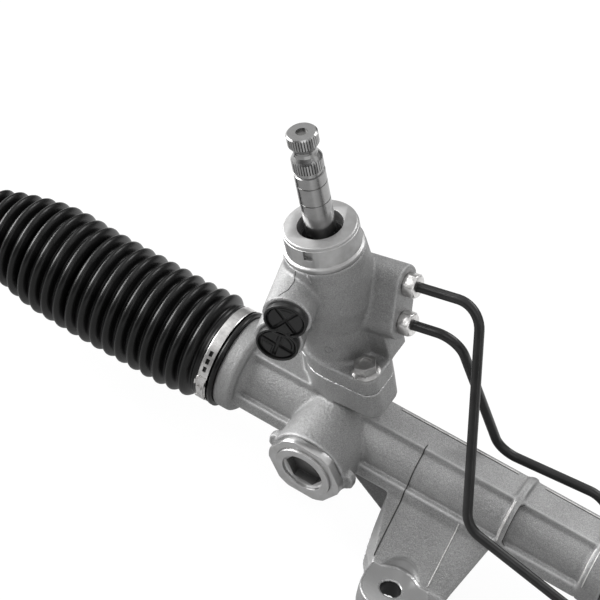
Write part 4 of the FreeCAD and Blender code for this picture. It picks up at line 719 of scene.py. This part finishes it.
def leg_edge():
    """The drafted left edge of the leg: three-cornered sections from the lower rib down to the foot."""
    rows = [((-31.6, 35.5, 57.0), (-32.0, 45.0, 57.0), (-24.0, 46.0, 57.0)),
            ((-31.4, 34.0, 52.0), (-32.2, 42.5, 47.0), (-24.0, 44.0, 50.0)),
            ((-23.6, 18.6, 24.0), (-32.0, 30.5, 17.0), (-16.0, 30.0, 22.0)),
            ((-20.6, 13.6, 14.0), (-30.5, 25.0, 8.0), (-12.0, 26.0, 12.0)),
            ((-19.5, 6.0, 0.2), (-28.5, 20.0, 0.2), (-10.0, 20.0, 0.2))]
    sides = grid_faces(len(rows), 3, ring_columns=True).tolist()
    last = 3 * (len(rows) - 1)
    return np.array(rows).reshape(-1, 3), [*sides, [0, 1, 2], [last + 2, last + 1, last]]


def leg_apron():
    """The swell of the leg above the foot, with a round bite where the spot face was cut.

    Its front leans by its own slope, and stays outside the cutter's circle: y is the larger
    of the slope and the root of the circle's radius squared less x squared.
    """
    rows, columns = 24, 44
    drop = np.linspace(0.0, LEG_TOP - SPOT_HIGH + 0.6, rows)[:, None]
    share = np.linspace(0.0, 1.0, columns)[None, :]
    left, right = leg_left(drop), LEG_RIGHT - LEG_RIGHT_LEAN * drop / LEG_TOP
    x = left + (right - left) * share
    back = LEG_FRONT - LEG_SLOPE * drop + 1.6 + 0 * x
    circle = np.sqrt(np.clip(SPOT_R ** 2 - x ** 2, 0.0, None))
    front = np.minimum(np.maximum(LEG_FRONT - APRON_SLOPE * drop + 0 * x, circle), back - 0.05)
    z = LEG_TOP - drop + 0 * x
    skin = np.stack([x, front, z], axis=-1)
    hidden = np.stack([x, back, z], axis=-1)[:, ::-1]
    points = np.concatenate([skin, hidden], axis=1)
    around = 2 * columns
    sides = grid_faces(rows, around, ring_columns=True).tolist()
    last = around * (rows - 1)
    caps = [[k, k + 1, around - 2 - k, around - 1 - k] for k in range(columns - 1)]
    return points.reshape(-1, 3), [*sides, *caps, *[[last + i for i in face[::-1]] for face in caps]]


print("the leg is", round(LEG_RIGHT - LEG_LEFT, 1), "mm wide at its top")

# %% [markdown]
# Two small ears stand beside the guide boss, just behind its lock nut. A painted highlight
# and painted shade that no edge gives are added too: a painted highlight on the leg's drafted
# left edge, and painted shade on the web beside it and at the bottom of the bore, where no
# light reaches.

# %% The main casting
EAR = [(20.0, -7.5), (28.0, -6.5), (31.2, -3.0), (31.2, 3.5), (28.5, 7.0), (20.0, 9.0)]
EAR_LOW, EAR_HIGH = 35.5, 41.5


def boss_lugs():
    """Two ears of the guide boss, one each way along the rack, just behind the lock nut."""
    turned = [(-x, y) for x, y in EAR]
    return [prism(EAR, EAR_LOW, EAR_HIGH, YOKE), prism(turned, EAR_LOW, EAR_HIGH, YOKE)]


def housing_painted_light(points):
    """A painted highlight on the leg's drafted left edge; painted shade in the web and the bore."""
    x, y, z = points.T
    left = leg_left(LEG_TOP - z)
    # Painted highlight on the leg's drafted left edge.
    bright = 0.45 * (x < left + 0.4) * (y < 37.2) * (z > 8) * (z < 54) * (x > left - 12)
    # Painted shade on the web beside the leg.
    dark = 0.62 * (x < left + 0.4) * (y > 37.6) * (y < 39.0) * (z > 8) * (z < 50) * (x > left - 26)
    # Painted shade at the bottom of the foot's bore.
    bore = 1.2 * (np.hypot(x, y) < FOOT_BORE_R + 0.6) * (z < SPOT_HIGH - 1)
    return bright, np.maximum(dark, bore)


housing = casting("main_casting", "rack_housing", 0.95, 3, housing_cuts,
                  extra=[leg_edge(), leg_apron(), *boss_lugs()], painted_light=housing_painted_light)

# %% [markdown]
# Two mould lines run down the leg, one painted dark as shade and one painted bright as a
# highlight. The long strip on top, the ribs and the socket get fine raised lines along their
# edges, painted bright as highlights or dark as shade. Each line lies in a plane across the
# rack or along it, so it is one list of y and z at a place along X, or one y over a stretch.

# %% Lines on the main casting
STRIP_HIGH = RACK_CENTRE[2] + 22.9
upright = [(52.0, STRIP_HIGH), (47.2, STRIP_HIGH), (47.2, 85.8), (39.4, 74.3), (35.1, 61.5),
           (TUBE_FRONT, 59.0)]
sloping = [(LEG_FRONT - APRON_SLOPE * (LEG_TOP - z), z) for z in (LEG_TOP, 40.0, 28.0, 16.0)]
rib = [(46.0, STRIP_HIGH), (39.8, 83.4), (35.1, 75.6), (33.2, 65.0), (33.3, 62.5)]
socket = [(44.5, 88.3), (39.1, 81.9), (34.5, 75.1), (32.4, 64.6)]


def lines_across(rows):
    """Ridges in planes across the rack, each from its place along X and its list of y and z."""
    for name, x, line, wide, material in rows:
        ridge(name, housing, [(x, y, z) for y, z in line], wide, material=material)


# The leg's mould lines: the left one painted as shade, the right one as a highlight.
lines_across((("leg_line_left", -21.4, upright + sloping, 0.42, SHADE_LINE),
              ("leg_line_right", 18.4, upright[5:] + sloping, 0.42, HIGHLIGHT_LINE)))
# Lines along the strip's edge, painted as a highlight and as shade.
for name, y, wide, material in (
        ("strip_line_bright", 69.6, 0.34, HIGHLIGHT_LINE), ("strip_line_dark", 68.6, 0.26, SHADE_LINE)):
    for ending, first, last in (("", -50.0, 36.0), ("_right", 54.0, 96.0)):
        run = [(first, y, STRIP_HIGH), (last, y, STRIP_HIGH)]
        ridge(name + ending, housing, run, wide, material=material)
# Lines along the rib and the socket, painted as highlights and as shade.
lines_across((("rib_line", 44.4, rib, 0.50, HIGHLIGHT_LINE), ("rib_line_left", 43.0, rib, 0.28, HIGHLIGHT_LINE),
              ("rib_line_right", 50.4, rib, 0.34, SHADE_LINE), ("socket_line", 100.6, socket, 0.60, HIGHLIGHT_LINE),
              ("socket_line_right", 103.4, socket, 0.40, HIGHLIGHT_LINE)))
print("lines drawn on the main casting")

# %% [markdown]
# ## The valve tower
# The tower is a second casting, bolted on. Its port faces and its top are cut flat. A mould
# line painted dark as shade and a small nub run beside its bosses; an ejector pin has left its ring.

# %% The valve tower casting


def tower_cuts(points):
    """One on the rim under the collar, on the joint to the neck and on the port faces."""
    pinion = local(points, PINION)
    radius = np.hypot(pinion[:, 0], pinion[:, 1])
    top = near(pinion[:, 2], TOWER_TOP, 0.5) * (radius < 25)
    foot = near(pinion[:, 2], NECK_TOP, 0.5)
    port = local(points, PORT)
    ports = near(port[:, 2], PORT_FACE, 0.5)
    return np.clip(top + foot + ports, 0, 1)


tower = casting("tower_casting", "valve_housing", 0.85, 5, tower_cuts)
# The boss's mould line is painted dark as shade.
ridge("boss_line", tower, [(-124.9, 17.1, 189.4), (-124.7, 17.8, 184.4), (-122.8, 13.8, 183.3),
                           (-122.3, 6.4, 181.6), (-125.3, -0.2, 178.3)], 0.22, material=SHADE_LINE)
ridge("collar_nub", tower, [(-117.2, 16.7, 190.6), (-115.2, 16.3, 189.3), (-113.2, 17.2, 184.8)], 0.9)
mark, mark_up, mark_radius = np.array([-96.8, 33.5, 132.9]), np.array([0.62, 0.0, 0.78]), 2.6
mark_side = np.cross(mark_up, (0.24, -0.95, -0.19))
ring_turn = np.linspace(0, 2 * math.pi, 33)[:, None]
circle = np.cos(ring_turn) * mark_up + np.sin(ring_turn) * mark_side
ridge("ejector_ring", tower, mark + mark_radius * circle, 0.3, 0.5, ring=True)

# %% [markdown]
# ## The end casting
# It closes the cylinder and carries the second foot, with the same cut faces as the first.

# %% The end casting
FAR_FOOT_X = 365.0


def end_cuts(points):
    """One on the far foot's cut faces and on the boot's seat."""
    seat = (points[:, 0] - RACK_CENTRE[0] > HOUSING_RIGHT - CUT_SEAT_RIGHT).astype(float)
    return np.clip(foot_cuts(points, FAR_FOOT_X) + seat, 0, 1)


end = casting("end_casting", "end_housing", 1.15, 4, end_cuts)

# %% [markdown]
# ## The bellows
# Each bellows is one moulded rubber sleeve with round folds and narrow valleys. The radius
# over one fold is the valley radius plus the depth times a power of the sine, which gives a
# broad crest and a sharp valley. It is made in three lengths that meet in valleys. It crosses
# three joints: the rack slides, the rod lifts and the rod swings. An Array of one fold would
# be shorter to write, but it couldn't taper or sag.

# %% The bellows profile
FOLDS, PITCH, WALL, FOLD_DEPTH = 20, 10.12, 2.0, 7.5
CUFF_LEN, BOOT_SEAT_LEN, AROUND = 17.0, 13.7, 112


def boot_start(side):
    """Where a boot begins along the rack, on the left side (-1) or the right side (1)."""
    return HOUSING_LEFT + BOOT_SEAT_LEN if side < 0 else HOUSING_RIGHT - BOOT_SEAT_LEN


def crest_radius(fold):
    """Even crests for two thirds of the length, then a taper: a power of the folds past the twelfth."""
    return 38.3 - 0.6 * np.clip((2 - fold) / 2, 0, None) - 9.4 * np.clip((fold - 12.0) / 5, 0, None) ** 1.6


def bellows_line(steps):
    """Outer radius along the bellows, from the lip through the cuff and the folds to the neck."""
    lip = [(30.7, 0.0), (33.9, 0.0), (34.4, 0.5), (34.4, 2.6), (34.0, 3.1), (33.0, 3.4), (33.0, 11.8),
           (33.3, 12.2), (33.3, 13.2), (33.0, 13.6), (33.0, 14.4), (33.3, 14.8), (33.3, 15.8), (33.0, 16.4)]
    phase = (np.arange(FOLDS * steps) + 0.5) / steps
    fold = np.floor(phase)
    crest = crest_radius(fold)
    swell = np.sin(math.pi * (phase - fold)) ** 0.8
    valley = crest_radius(phase) - FOLD_DEPTH
    folds = np.column_stack([valley + (crest - valley) * swell, CUFF_LEN + phase * PITCH])
    end_at = CUFF_LEN + FOLDS * PITCH
    neck = [(16.0, end_at + 0.8), (13.0, end_at + 3.4), (11.3, end_at + 5.6), (11.1, end_at + 6.4),
            (11.1, end_at + 19.0), (10.7, end_at + 20.0), (8.2, end_at + 20.0)]
    return np.concatenate([lip, folds, neck])


def sag(distance, depth=2.2):
    """How far the sleeve hangs below its axis: down past the cuff, and back up along the taper.

    Each of the two is half a cosine wave over its stretch: 26 mm from the cuff, 65 mm later on.
    """
    down, back = np.clip((distance - 18) / 26, 0, 1), np.clip((distance - 105) / 65, 0, 1)
    return -depth * (0.5 - 0.5 * np.cos(math.pi * down)) * (0.5 + 0.5 * np.cos(math.pi * back))


print("boots start at", boot_start(-1), "and", boot_start(1), "mm")

# %% [markdown]
# Each bellows is cut in two valleys, into a root, a middle and a tip; the tip holds the folds
# that taper onto the rod.

# %% Six lengths of bellows
CUT_FOLDS, STIFF_FOLDS = (10, 14), 17.7


def sleeve(name, side, first, last, blend_from, blend_to):
    """A length of the bellows: outer line out, inner line back, turned about the rack axis."""
    outer = bellows_line(14)
    chosen = outer[(outer[:, 1] >= first) & (outer[:, 1] <= last)]
    inside = chosen[::-1].copy()
    inside[:, 0] = np.maximum(inside[:, 0] - WALL, np.where(inside[:, 1] < CUFF_LEN, 30.6, 7.95))
    line = np.concatenate([chosen, inside])
    start = boot_start(side)
    angle = np.linspace(0, 2 * math.pi, AROUND, endpoint=False)
    radius, along = line[:, 0:1], line[:, 1:2] + 0 * angle
    drop = sag(along)
    points = np.stack([start + side * along, radius * np.cos(angle), radius * np.sin(angle) + drop], axis=-1)
    points = points.reshape(-1, 3) + RACK_CENTRE
    piece = outward(mesh_piece(name, points, grid_faces(len(line), AROUND, True, True)))
    piece.data.materials.append(RUBBER)
    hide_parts(("left_" if side < 0 else "right_") + "bellows")
    ends = [RACK_CENTRE + np.array([start + side * at, 0, 0]) for at in (blend_from, blend_to)]
    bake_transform(piece)
    print(name, len(piece.data.polygons), "faces")
    return piece


for side, tag in ((-1, "left"), (1, "right")):
    cut_one, cut_two = (CUFF_LEN + count * PITCH for count in CUT_FOLDS)
    straight_from = CUFF_LEN + STIFF_FOLDS * PITCH
    sleeve(tag + "_sleeve_root", side, 0, cut_one, CUFF_LEN, cut_one - 2)
    sleeve(tag + "_sleeve_middle", side, cut_one, cut_two, cut_one + 1, cut_two - 1)
    sleeve(tag + "_sleeve_tip", side, cut_two, 300, cut_two + 1, straight_from)

# %% [markdown]
# ## The clamps
# A strip of steel goes round the cuff. Near its lock it has a ladder of slots, and its end is
# folded up into an ear. The strip is a grid over angle and width with the slots left out,
# and Solidify gives it its thickness. Booleans could cut the slots as well, but a grid is
# exact and keeps even faces.

# %% The large clamps
BAND_INSET = 5.0


def clamp(side, tag):
    """A strip bent to a ring, with three slots near its lock, and the lock as a piece beside it."""
    radius, width, thick = 33.1, 6.4, 0.8
    start = boot_start(side) + side * BAND_INSET
    across = np.array([0.0, 0.25, 1.9, 2.1, 4.3, 4.5, 6.15, width])
    slots = math.radians(-213) + np.array([0.0, 0.17, 0.34])
    edges = np.sort(np.concatenate([slots - 0.055, slots + 0.055]))
    rest = np.linspace(edges[-1], edges[0] + 2 * math.pi, 150)[1:-1]
    angle = np.concatenate([edges, rest])
    lift = np.where(np.isin(np.arange(len(across)), (0, len(across) - 1)), -0.12, 0.0)
    r = radius + lift[None, :] + 0 * angle[:, None]
    points = np.stack([start + side * across[None, :] + 0 * angle[:, None],
                       r * np.cos(angle)[:, None], r * np.sin(angle)[:, None]], axis=-1)
    faces = grid_faces(len(angle), len(across), ring_rows=True)
    row, column = faces[:, 0] // len(across), faces[:, 0] % len(across)
    open_slot = np.isin(row, (0, 2, 4)) & np.isin(column, (2, 3, 4))
    piece = mesh_piece(tag + "_clamp", points.reshape(-1, 3) + RACK_CENTRE, faces[~open_slot], smooth=False)
    outward(piece)
    solid = piece.modifiers.new("thickness", "SOLIDIFY")
    solid.thickness = thick / 1000
    solid.offset = 1.0
    piece.data.materials.append(ZINC)
    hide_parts(tag + "_boot_band")
    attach(piece, "housing")
    shells = lock_shells(start, side, radius + thick)
    ear = outward(mesh_piece(tag + "_clamp_lock", *together(shells), smooth=False))
    ear.data.materials.append(ZINC)
    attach(ear, "housing")
    print(tag, "clamp", len(piece.data.polygons), "faces, lock", len(ear.data.polygons))


def arc_plate(start, side, edge, reach, turn, low, high):
    """A curved plate round the rack axis: from edge to reach across, over two angles, between two radii."""
    angle = np.radians(np.linspace(turn[0], turn[1], 15))
    ring = np.array([(edge, low), (reach, low), (reach, high), (edge, high)])
    along = start + side * ring[None, :, 0] + 0 * angle[:, None]
    r = ring[None, :, 1] + 0 * angle[:, None]
    points = np.stack([along, r * np.cos(angle)[:, None], r * np.sin(angle)[:, None]], axis=-1).reshape(-1, 3)
    sides = grid_faces(len(angle), 4, ring_columns=True).tolist()
    last = 4 * (len(angle) - 1)
    return points + RACK_CENTRE, [*sides, [0, 1, 2, 3], [last + 3, last + 2, last + 1, last]]


def lock_shells(start, side, radius):
    """The lock: a bridge over the strip, two cheeks bent up beside it and a folded tongue."""
    return [arc_plate(start, side, -0.5, 6.9, (-183, -172), radius + 0.05, radius + 1.0),
            arc_plate(start, side, 0.9, 5.5, (-172, -152), radius + 0.05, radius + 0.9),
            arc_plate(start, side, -0.5, 0.3, (-180, -174), radius + 0.9, radius + 2.6),
            arc_plate(start, side, 6.1, 6.9, (-180, -174), radius + 0.9, radius + 2.6),
            arc_plate(start, side, 1.6, 4.8, (-171, -166), radius + 0.8, radius + 2.3),
            arc_plate(start, side, -0.4, 6.8, (-153, -147), radius + 0.05, radius + 1.3)]


clamp(-1, "left")
clamp(1, "right")

# %% [markdown]
# ## The shipping plug
# A black plastic plug with two round caps keeps dirt out of the pressure ports. Each cap has
# a rim and a sunk floor with four raised fields, which leave a cross between them. Booleans
# would leave hard seams, so closed shells for all of these overlap, and one fine remesh
# melts them into a single moulded part with soft edges.

# %% The shipping plug


def sector(first, last, gap, reach, low, high, place):
    """A slice of a disc between two angles, drawn in by a gap from both of its straight sides."""
    middle, half = (first + last) / 2, (last - first) / 2
    tip = gap / math.sin(half) * np.array([math.cos(middle), math.sin(middle)])
    room = math.asin(gap / reach)
    arc = np.linspace(first + room, last - room, 16)
    rim = reach * np.column_stack([np.cos(arc), np.sin(arc)])
    return prism(np.concatenate([[tip], rim]), low, high, place)


def plug():
    """Two turned caps with four sectors each, melted together; a cap lies at its place on the port face."""
    caps = ((-15.4, 116.4), (-24.2, 95.8))
    shells = []
    for number, (across, up) in enumerate(caps):
        centre = PORT.copy()
        centre[:3, 3] = placed([[across, up, PORT_FACE]], PORT)[0]
        shells.append(spin([(0.01, -9), (7.7, -9), (7.7, 0.6), (13.5, 0.6), (13.5, 4.0), (12.9, 4.5),
                            (12.0, 4.3), (11.9, 1.6), (0.01, 1.6)], centre, 72))
        turn = math.radians(38 if number == 0 else 66)
        for quarter, span in enumerate((76, 104, 76, 104)):
            first = turn + math.radians((0, 76, 180, 256)[quarter])
            last = first + math.radians(span)
            shells.append(sector(first, last, 1.15, 10.9, 1.0, 3.5 - 0.5 * (quarter % 2), centre))
            if quarter % 2 == number:
                shells.append(sector(first, last, 2.4, 9.2, 3.0, 4.1, centre))
    piece = outward(mesh_piece("shipping_plug", *together(shells)))
    rebuilt(piece, 0.33)
    relaxed(piece, np.ones(len(piece.data.vertices)), 2)
    piece.data.materials.append(PLASTIC)
    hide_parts("port_plug")
    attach(piece, "housing")
    print("shipping plug", len(piece.data.polygons), "faces")


plug()

# %% [markdown]
# ## Turned and pressed parts
# Nuts, bolts and rings come from the CAD model with knife-sharp edges. A real edge is broken
# by a tenth or two, and that narrow facet is what catches the light. A copy of each is
# merged, its flat triangles are dissolved into whole faces, and a Bevel breaks its edges.

# %% Broken edges


def eased(node_name, body, material, width, sharp=32):
    """A copy of a node with its flat faces made whole and its edges bevelled by a width in mm."""
    piece = closed_copy(node_name + "_eased", [node_name])
    shell = bmesh.new()
    shell.from_mesh(piece.data)
    bmesh.ops.dissolve_limit(shell, angle_limit=math.radians(0.6), verts=shell.verts, edges=shell.edges)
    shell.to_mesh(piece.data)
    shell.free()
    piece.data.polygons.foreach_set("use_smooth", np.full(len(piece.data.polygons), True))
    bevel = piece.modifiers.new("broken edge", "BEVEL")
    bevel.width = width / 1000
    bevel.segments = 2
    bevel.limit_method = "ANGLE"
    bevel.angle_limit = math.radians(sharp)
    bevel.harden_normals = True
    piece.data.materials.clear()
    piece.data.materials.append(material)
    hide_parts(node_name)
    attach(piece, body)
    return piece


broken = {}
for node_name, material, slot_name, width in (
        ("valve_collar", COLLAR, "machined_aluminium", 0.25), ("valve_bolts", BOLT, "zinc_steel", 0.25),
        ("yoke_lock_nut", GUIDE, "zinc_steel", 0.45), ("yoke_plug", GUIDE, "machined_aluminium", 0.4),
        ("line_nuts", ZINC, "zinc_steel", 0.22)):
    broken[node_name] = eased(node_name, "housing", material, width)
print("edges broken on", len(broken), "parts")

# %% [markdown]
# The collar's rim is thin above its notch and its step. In the CAD model both lie a little
# lower, so their points are moved up along the pinion axis, and nothing else is changed.

# %% The collar's step and notch


def raise_step(piece):
    """The collar's notch and step pushed up along the pinion axis, so that the rim above is thin.

    Heights are read from one scale to another, straight between the collar's foot, the
    notch's floor, the step's two edges and the rim's bevel.
    """
    points = mesh_points(piece)
    high = local(points, PINION)[:, 2]
    drawn = (0, 141.0, 144.3, 150.7, 151.0, 154.5, 160)
    wanted = (0, 141.0, 146.3, 152.9, 153.15, 154.5, 160)
    raised = np.interp(high, drawn, wanted)
    put_points(piece, points + (raised - high)[:, None] * PINION[:3, 2])


raise_step(broken["valve_collar"])
print("collar has", len(broken["valve_collar"].data.polygons), "faces")

# %% [markdown]
# ## Finishes on the remaining parts
# The rest of the parts keep their CAD shape. Each takes the finish of its slot.

# %% Finishes on the CAD parts
finish_of = {
    "cast_aluminium": CAST, "machined_aluminium": COLLAR, "cylinder_steel": TUBE,
    "ground_steel": STEEL, "zinc_steel": ZINC, "spring_steel": SPRING, "black_line": ENAMEL,
    "bellows_rubber": RUBBER, "seal_rubber": SEAL, "black_plastic": PLASTIC,
    "bearing_plastic": BEARING, "ring_plastic": RING}
along_rack = {"rack_bar", "rack_piston", "left_tie_rod", "right_tie_rod",
              "left_inner_socket", "right_inner_socket"}
for part in frame["record"]["subparts"]:
    chosen = ROD if part["node"] in along_rack else finish_of[part["material_slot"]]
    data = nodes[part["node"]].data
    data.materials.clear()
    data.materials.append(chosen)

# %% [markdown]
# ## Studio
# The camera sees the floor white, as in a catalogue. Metal that mirrored a white floor would
# have no shape left, so for it the floor is dim, with a bright patch behind the part and
# one at its right. The Light Path node tells the camera's rays from the mirrored ones.

# %% The floor


def backdrop():
    """The floor glows for the camera, and less, in two patches, for what mirrors it."""
    recipe = Recipe("studio_white")
    path = recipe.add("ShaderNodeLightPath", {}, {}, "Is Camera Ray")
    glossy = recipe.add("ShaderNodeLightPath", {}, {}, "Is Glossy Ray")
    back = recipe.step("Y", 0.05, 0.32) * 0.50
    right = recipe.step("X", 0.02, 0.10) * (1 - recipe.step("Y", -0.22, -0.10)) * 0.55
    seen = (path * 0.75 + glossy * (back + right + 0.20)).clamp()
    recipe.set(Base_Color=grey(0.30), Roughness=0.9)
    glow = recipe.add("ShaderNodeEmission", {}, {"Color": grey(1.0), "Strength": 1.25})
    lit = Wire(recipe, recipe.shader.outputs[0])
    both = recipe.add("ShaderNodeMixShader", {}, {0: seen, 1: lit, 2: glow})
    output = [n for n in recipe.tree.nodes if n.type == "OUTPUT_MATERIAL"][0]
    recipe.tree.links.new(both.socket, output.inputs[0])
    return recipe.material


FLOOR_REACH, FLOOR_GAP = 6000.0, 0.3
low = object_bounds()[0].z * 1000 - FLOOR_GAP
corners = [(FLOOR_REACH * x, FLOOR_REACH * y, low) for x, y in ((-1, -1), (1, -1), (1, 1), (-1, 1))]
floor = mesh_piece("floor", corners, [(0, 1, 2, 3)], smooth=False)
floor.data.materials.append(backdrop())
print("floor at", round(low, 2), "mm")

# %% [markdown]
# Five soft lamps: the strongest high on the left, one low beside it, one above and behind,
# and two weak ones in front and on the right. The room lights the part as well, so they
# stay dim enough for the metal to keep its greys.

# %% Lamps


def lamp(name, at, target, size, power, tall=None):
    """A rectangular lamp at a place in metres, turned towards a target."""
    light = bpy.data.lights.new(name, "AREA")
    light.shape = "RECTANGLE"
    light.size, light.size_y = size, tall or size
    light.energy = power
    holder = bpy.data.objects.new(name, light)
    holder.location = at
    holder.rotation_euler = (Vector(target) - Vector(at)).to_track_quat("-Z", "Y").to_euler()
    bpy.context.scene.collection.objects.link(holder)


aim = (-0.02, 0.02, 0.08)
lamp("key", (-1.40, -0.50, 0.85), aim, 0.8, 21)
lamp("top", (0.25, 1.1, 1.35), aim, 0.8, 8, 0.5)
lamp("left", (-1.6, 0.05, 0.35), aim, 0.9, 14, 0.4)
lamp("front", (0.15, -1.0, 1.35), aim, 0.9, 2.5, 0.6)
lamp("side", (1.5, -0.7, 0.75), aim, 0.3, 2.5, 1.0)
print("lamps:", [light.name for light in bpy.data.lights])

# %% [markdown]
# The room is white to the camera. For all else it is dark, with a bright ceiling and a wall
# each way along the rack, which give round parts their long highlights.

# %% The room


def studio_world():
    """White to the camera; for all else a ceiling by height and a wall each way along the rack."""
    recipe = Recipe("studio", bpy.data.worlds, "Background", "Generated")
    seen = recipe.add("ShaderNodeLightPath", {}, {}, "Is Camera Ray")
    height = recipe.vector("DOT_PRODUCT", recipe.place, (0.0, 0.0, 1.0), output=1)
    ceiling = ((height + 0.12) * 1.1).clamp() ** 1.6
    level = recipe.vector("NORMALIZE", recipe.vector("MULTIPLY", recipe.place, (1.0, 1.0, 0.0)))
    walls = 0.0
    for aim_at, power, bright in (((-0.96, 0.28, 0.0), 14, 0.85), ((0.98, 0.2, 0.0), 26, 0.7)):
        facing = recipe.vector("DOT_PRODUCT", level, aim_at, output=1)
        walls = facing.clamp() ** power * bright + walls
    room = ceiling * 0.60 + walls + 0.05
    bpy.context.scene.world = recipe.set(Strength=seen + (1 - seen) * room, Color=grey(1.0))


studio_world()
print("the room has", len(bpy.context.scene.world.node_tree.nodes), "nodes")

# %% [markdown]
# The camera stands high and in front, with a long lens, so that round parts keep their
# shape. Its axes and its place were fitted to the outlines of the tube, the tower, the guide
# boss and the foot.

# %% The camera
eye = bpy.data.cameras.new("camera")
eye.lens, eye.sensor_width = 105, 36
eye.clip_end = 50
camera = bpy.data.objects.new("camera", eye)
turn = Matrix(((.8444, -.4565, .2804), (.4911, .4505, -.7456), (.2141, .7673, .6045))).to_4x4()
turn.translation = (0.1774, -0.7666, 0.8060)
camera.matrix_world = turn
bpy.context.scene.collection.objects.link(camera)
bpy.context.scene.camera = camera
bpy.context.scene.view_settings.view_transform = "Standard"
print("camera", round(math.degrees(eye.angle), 1), "degrees wide")
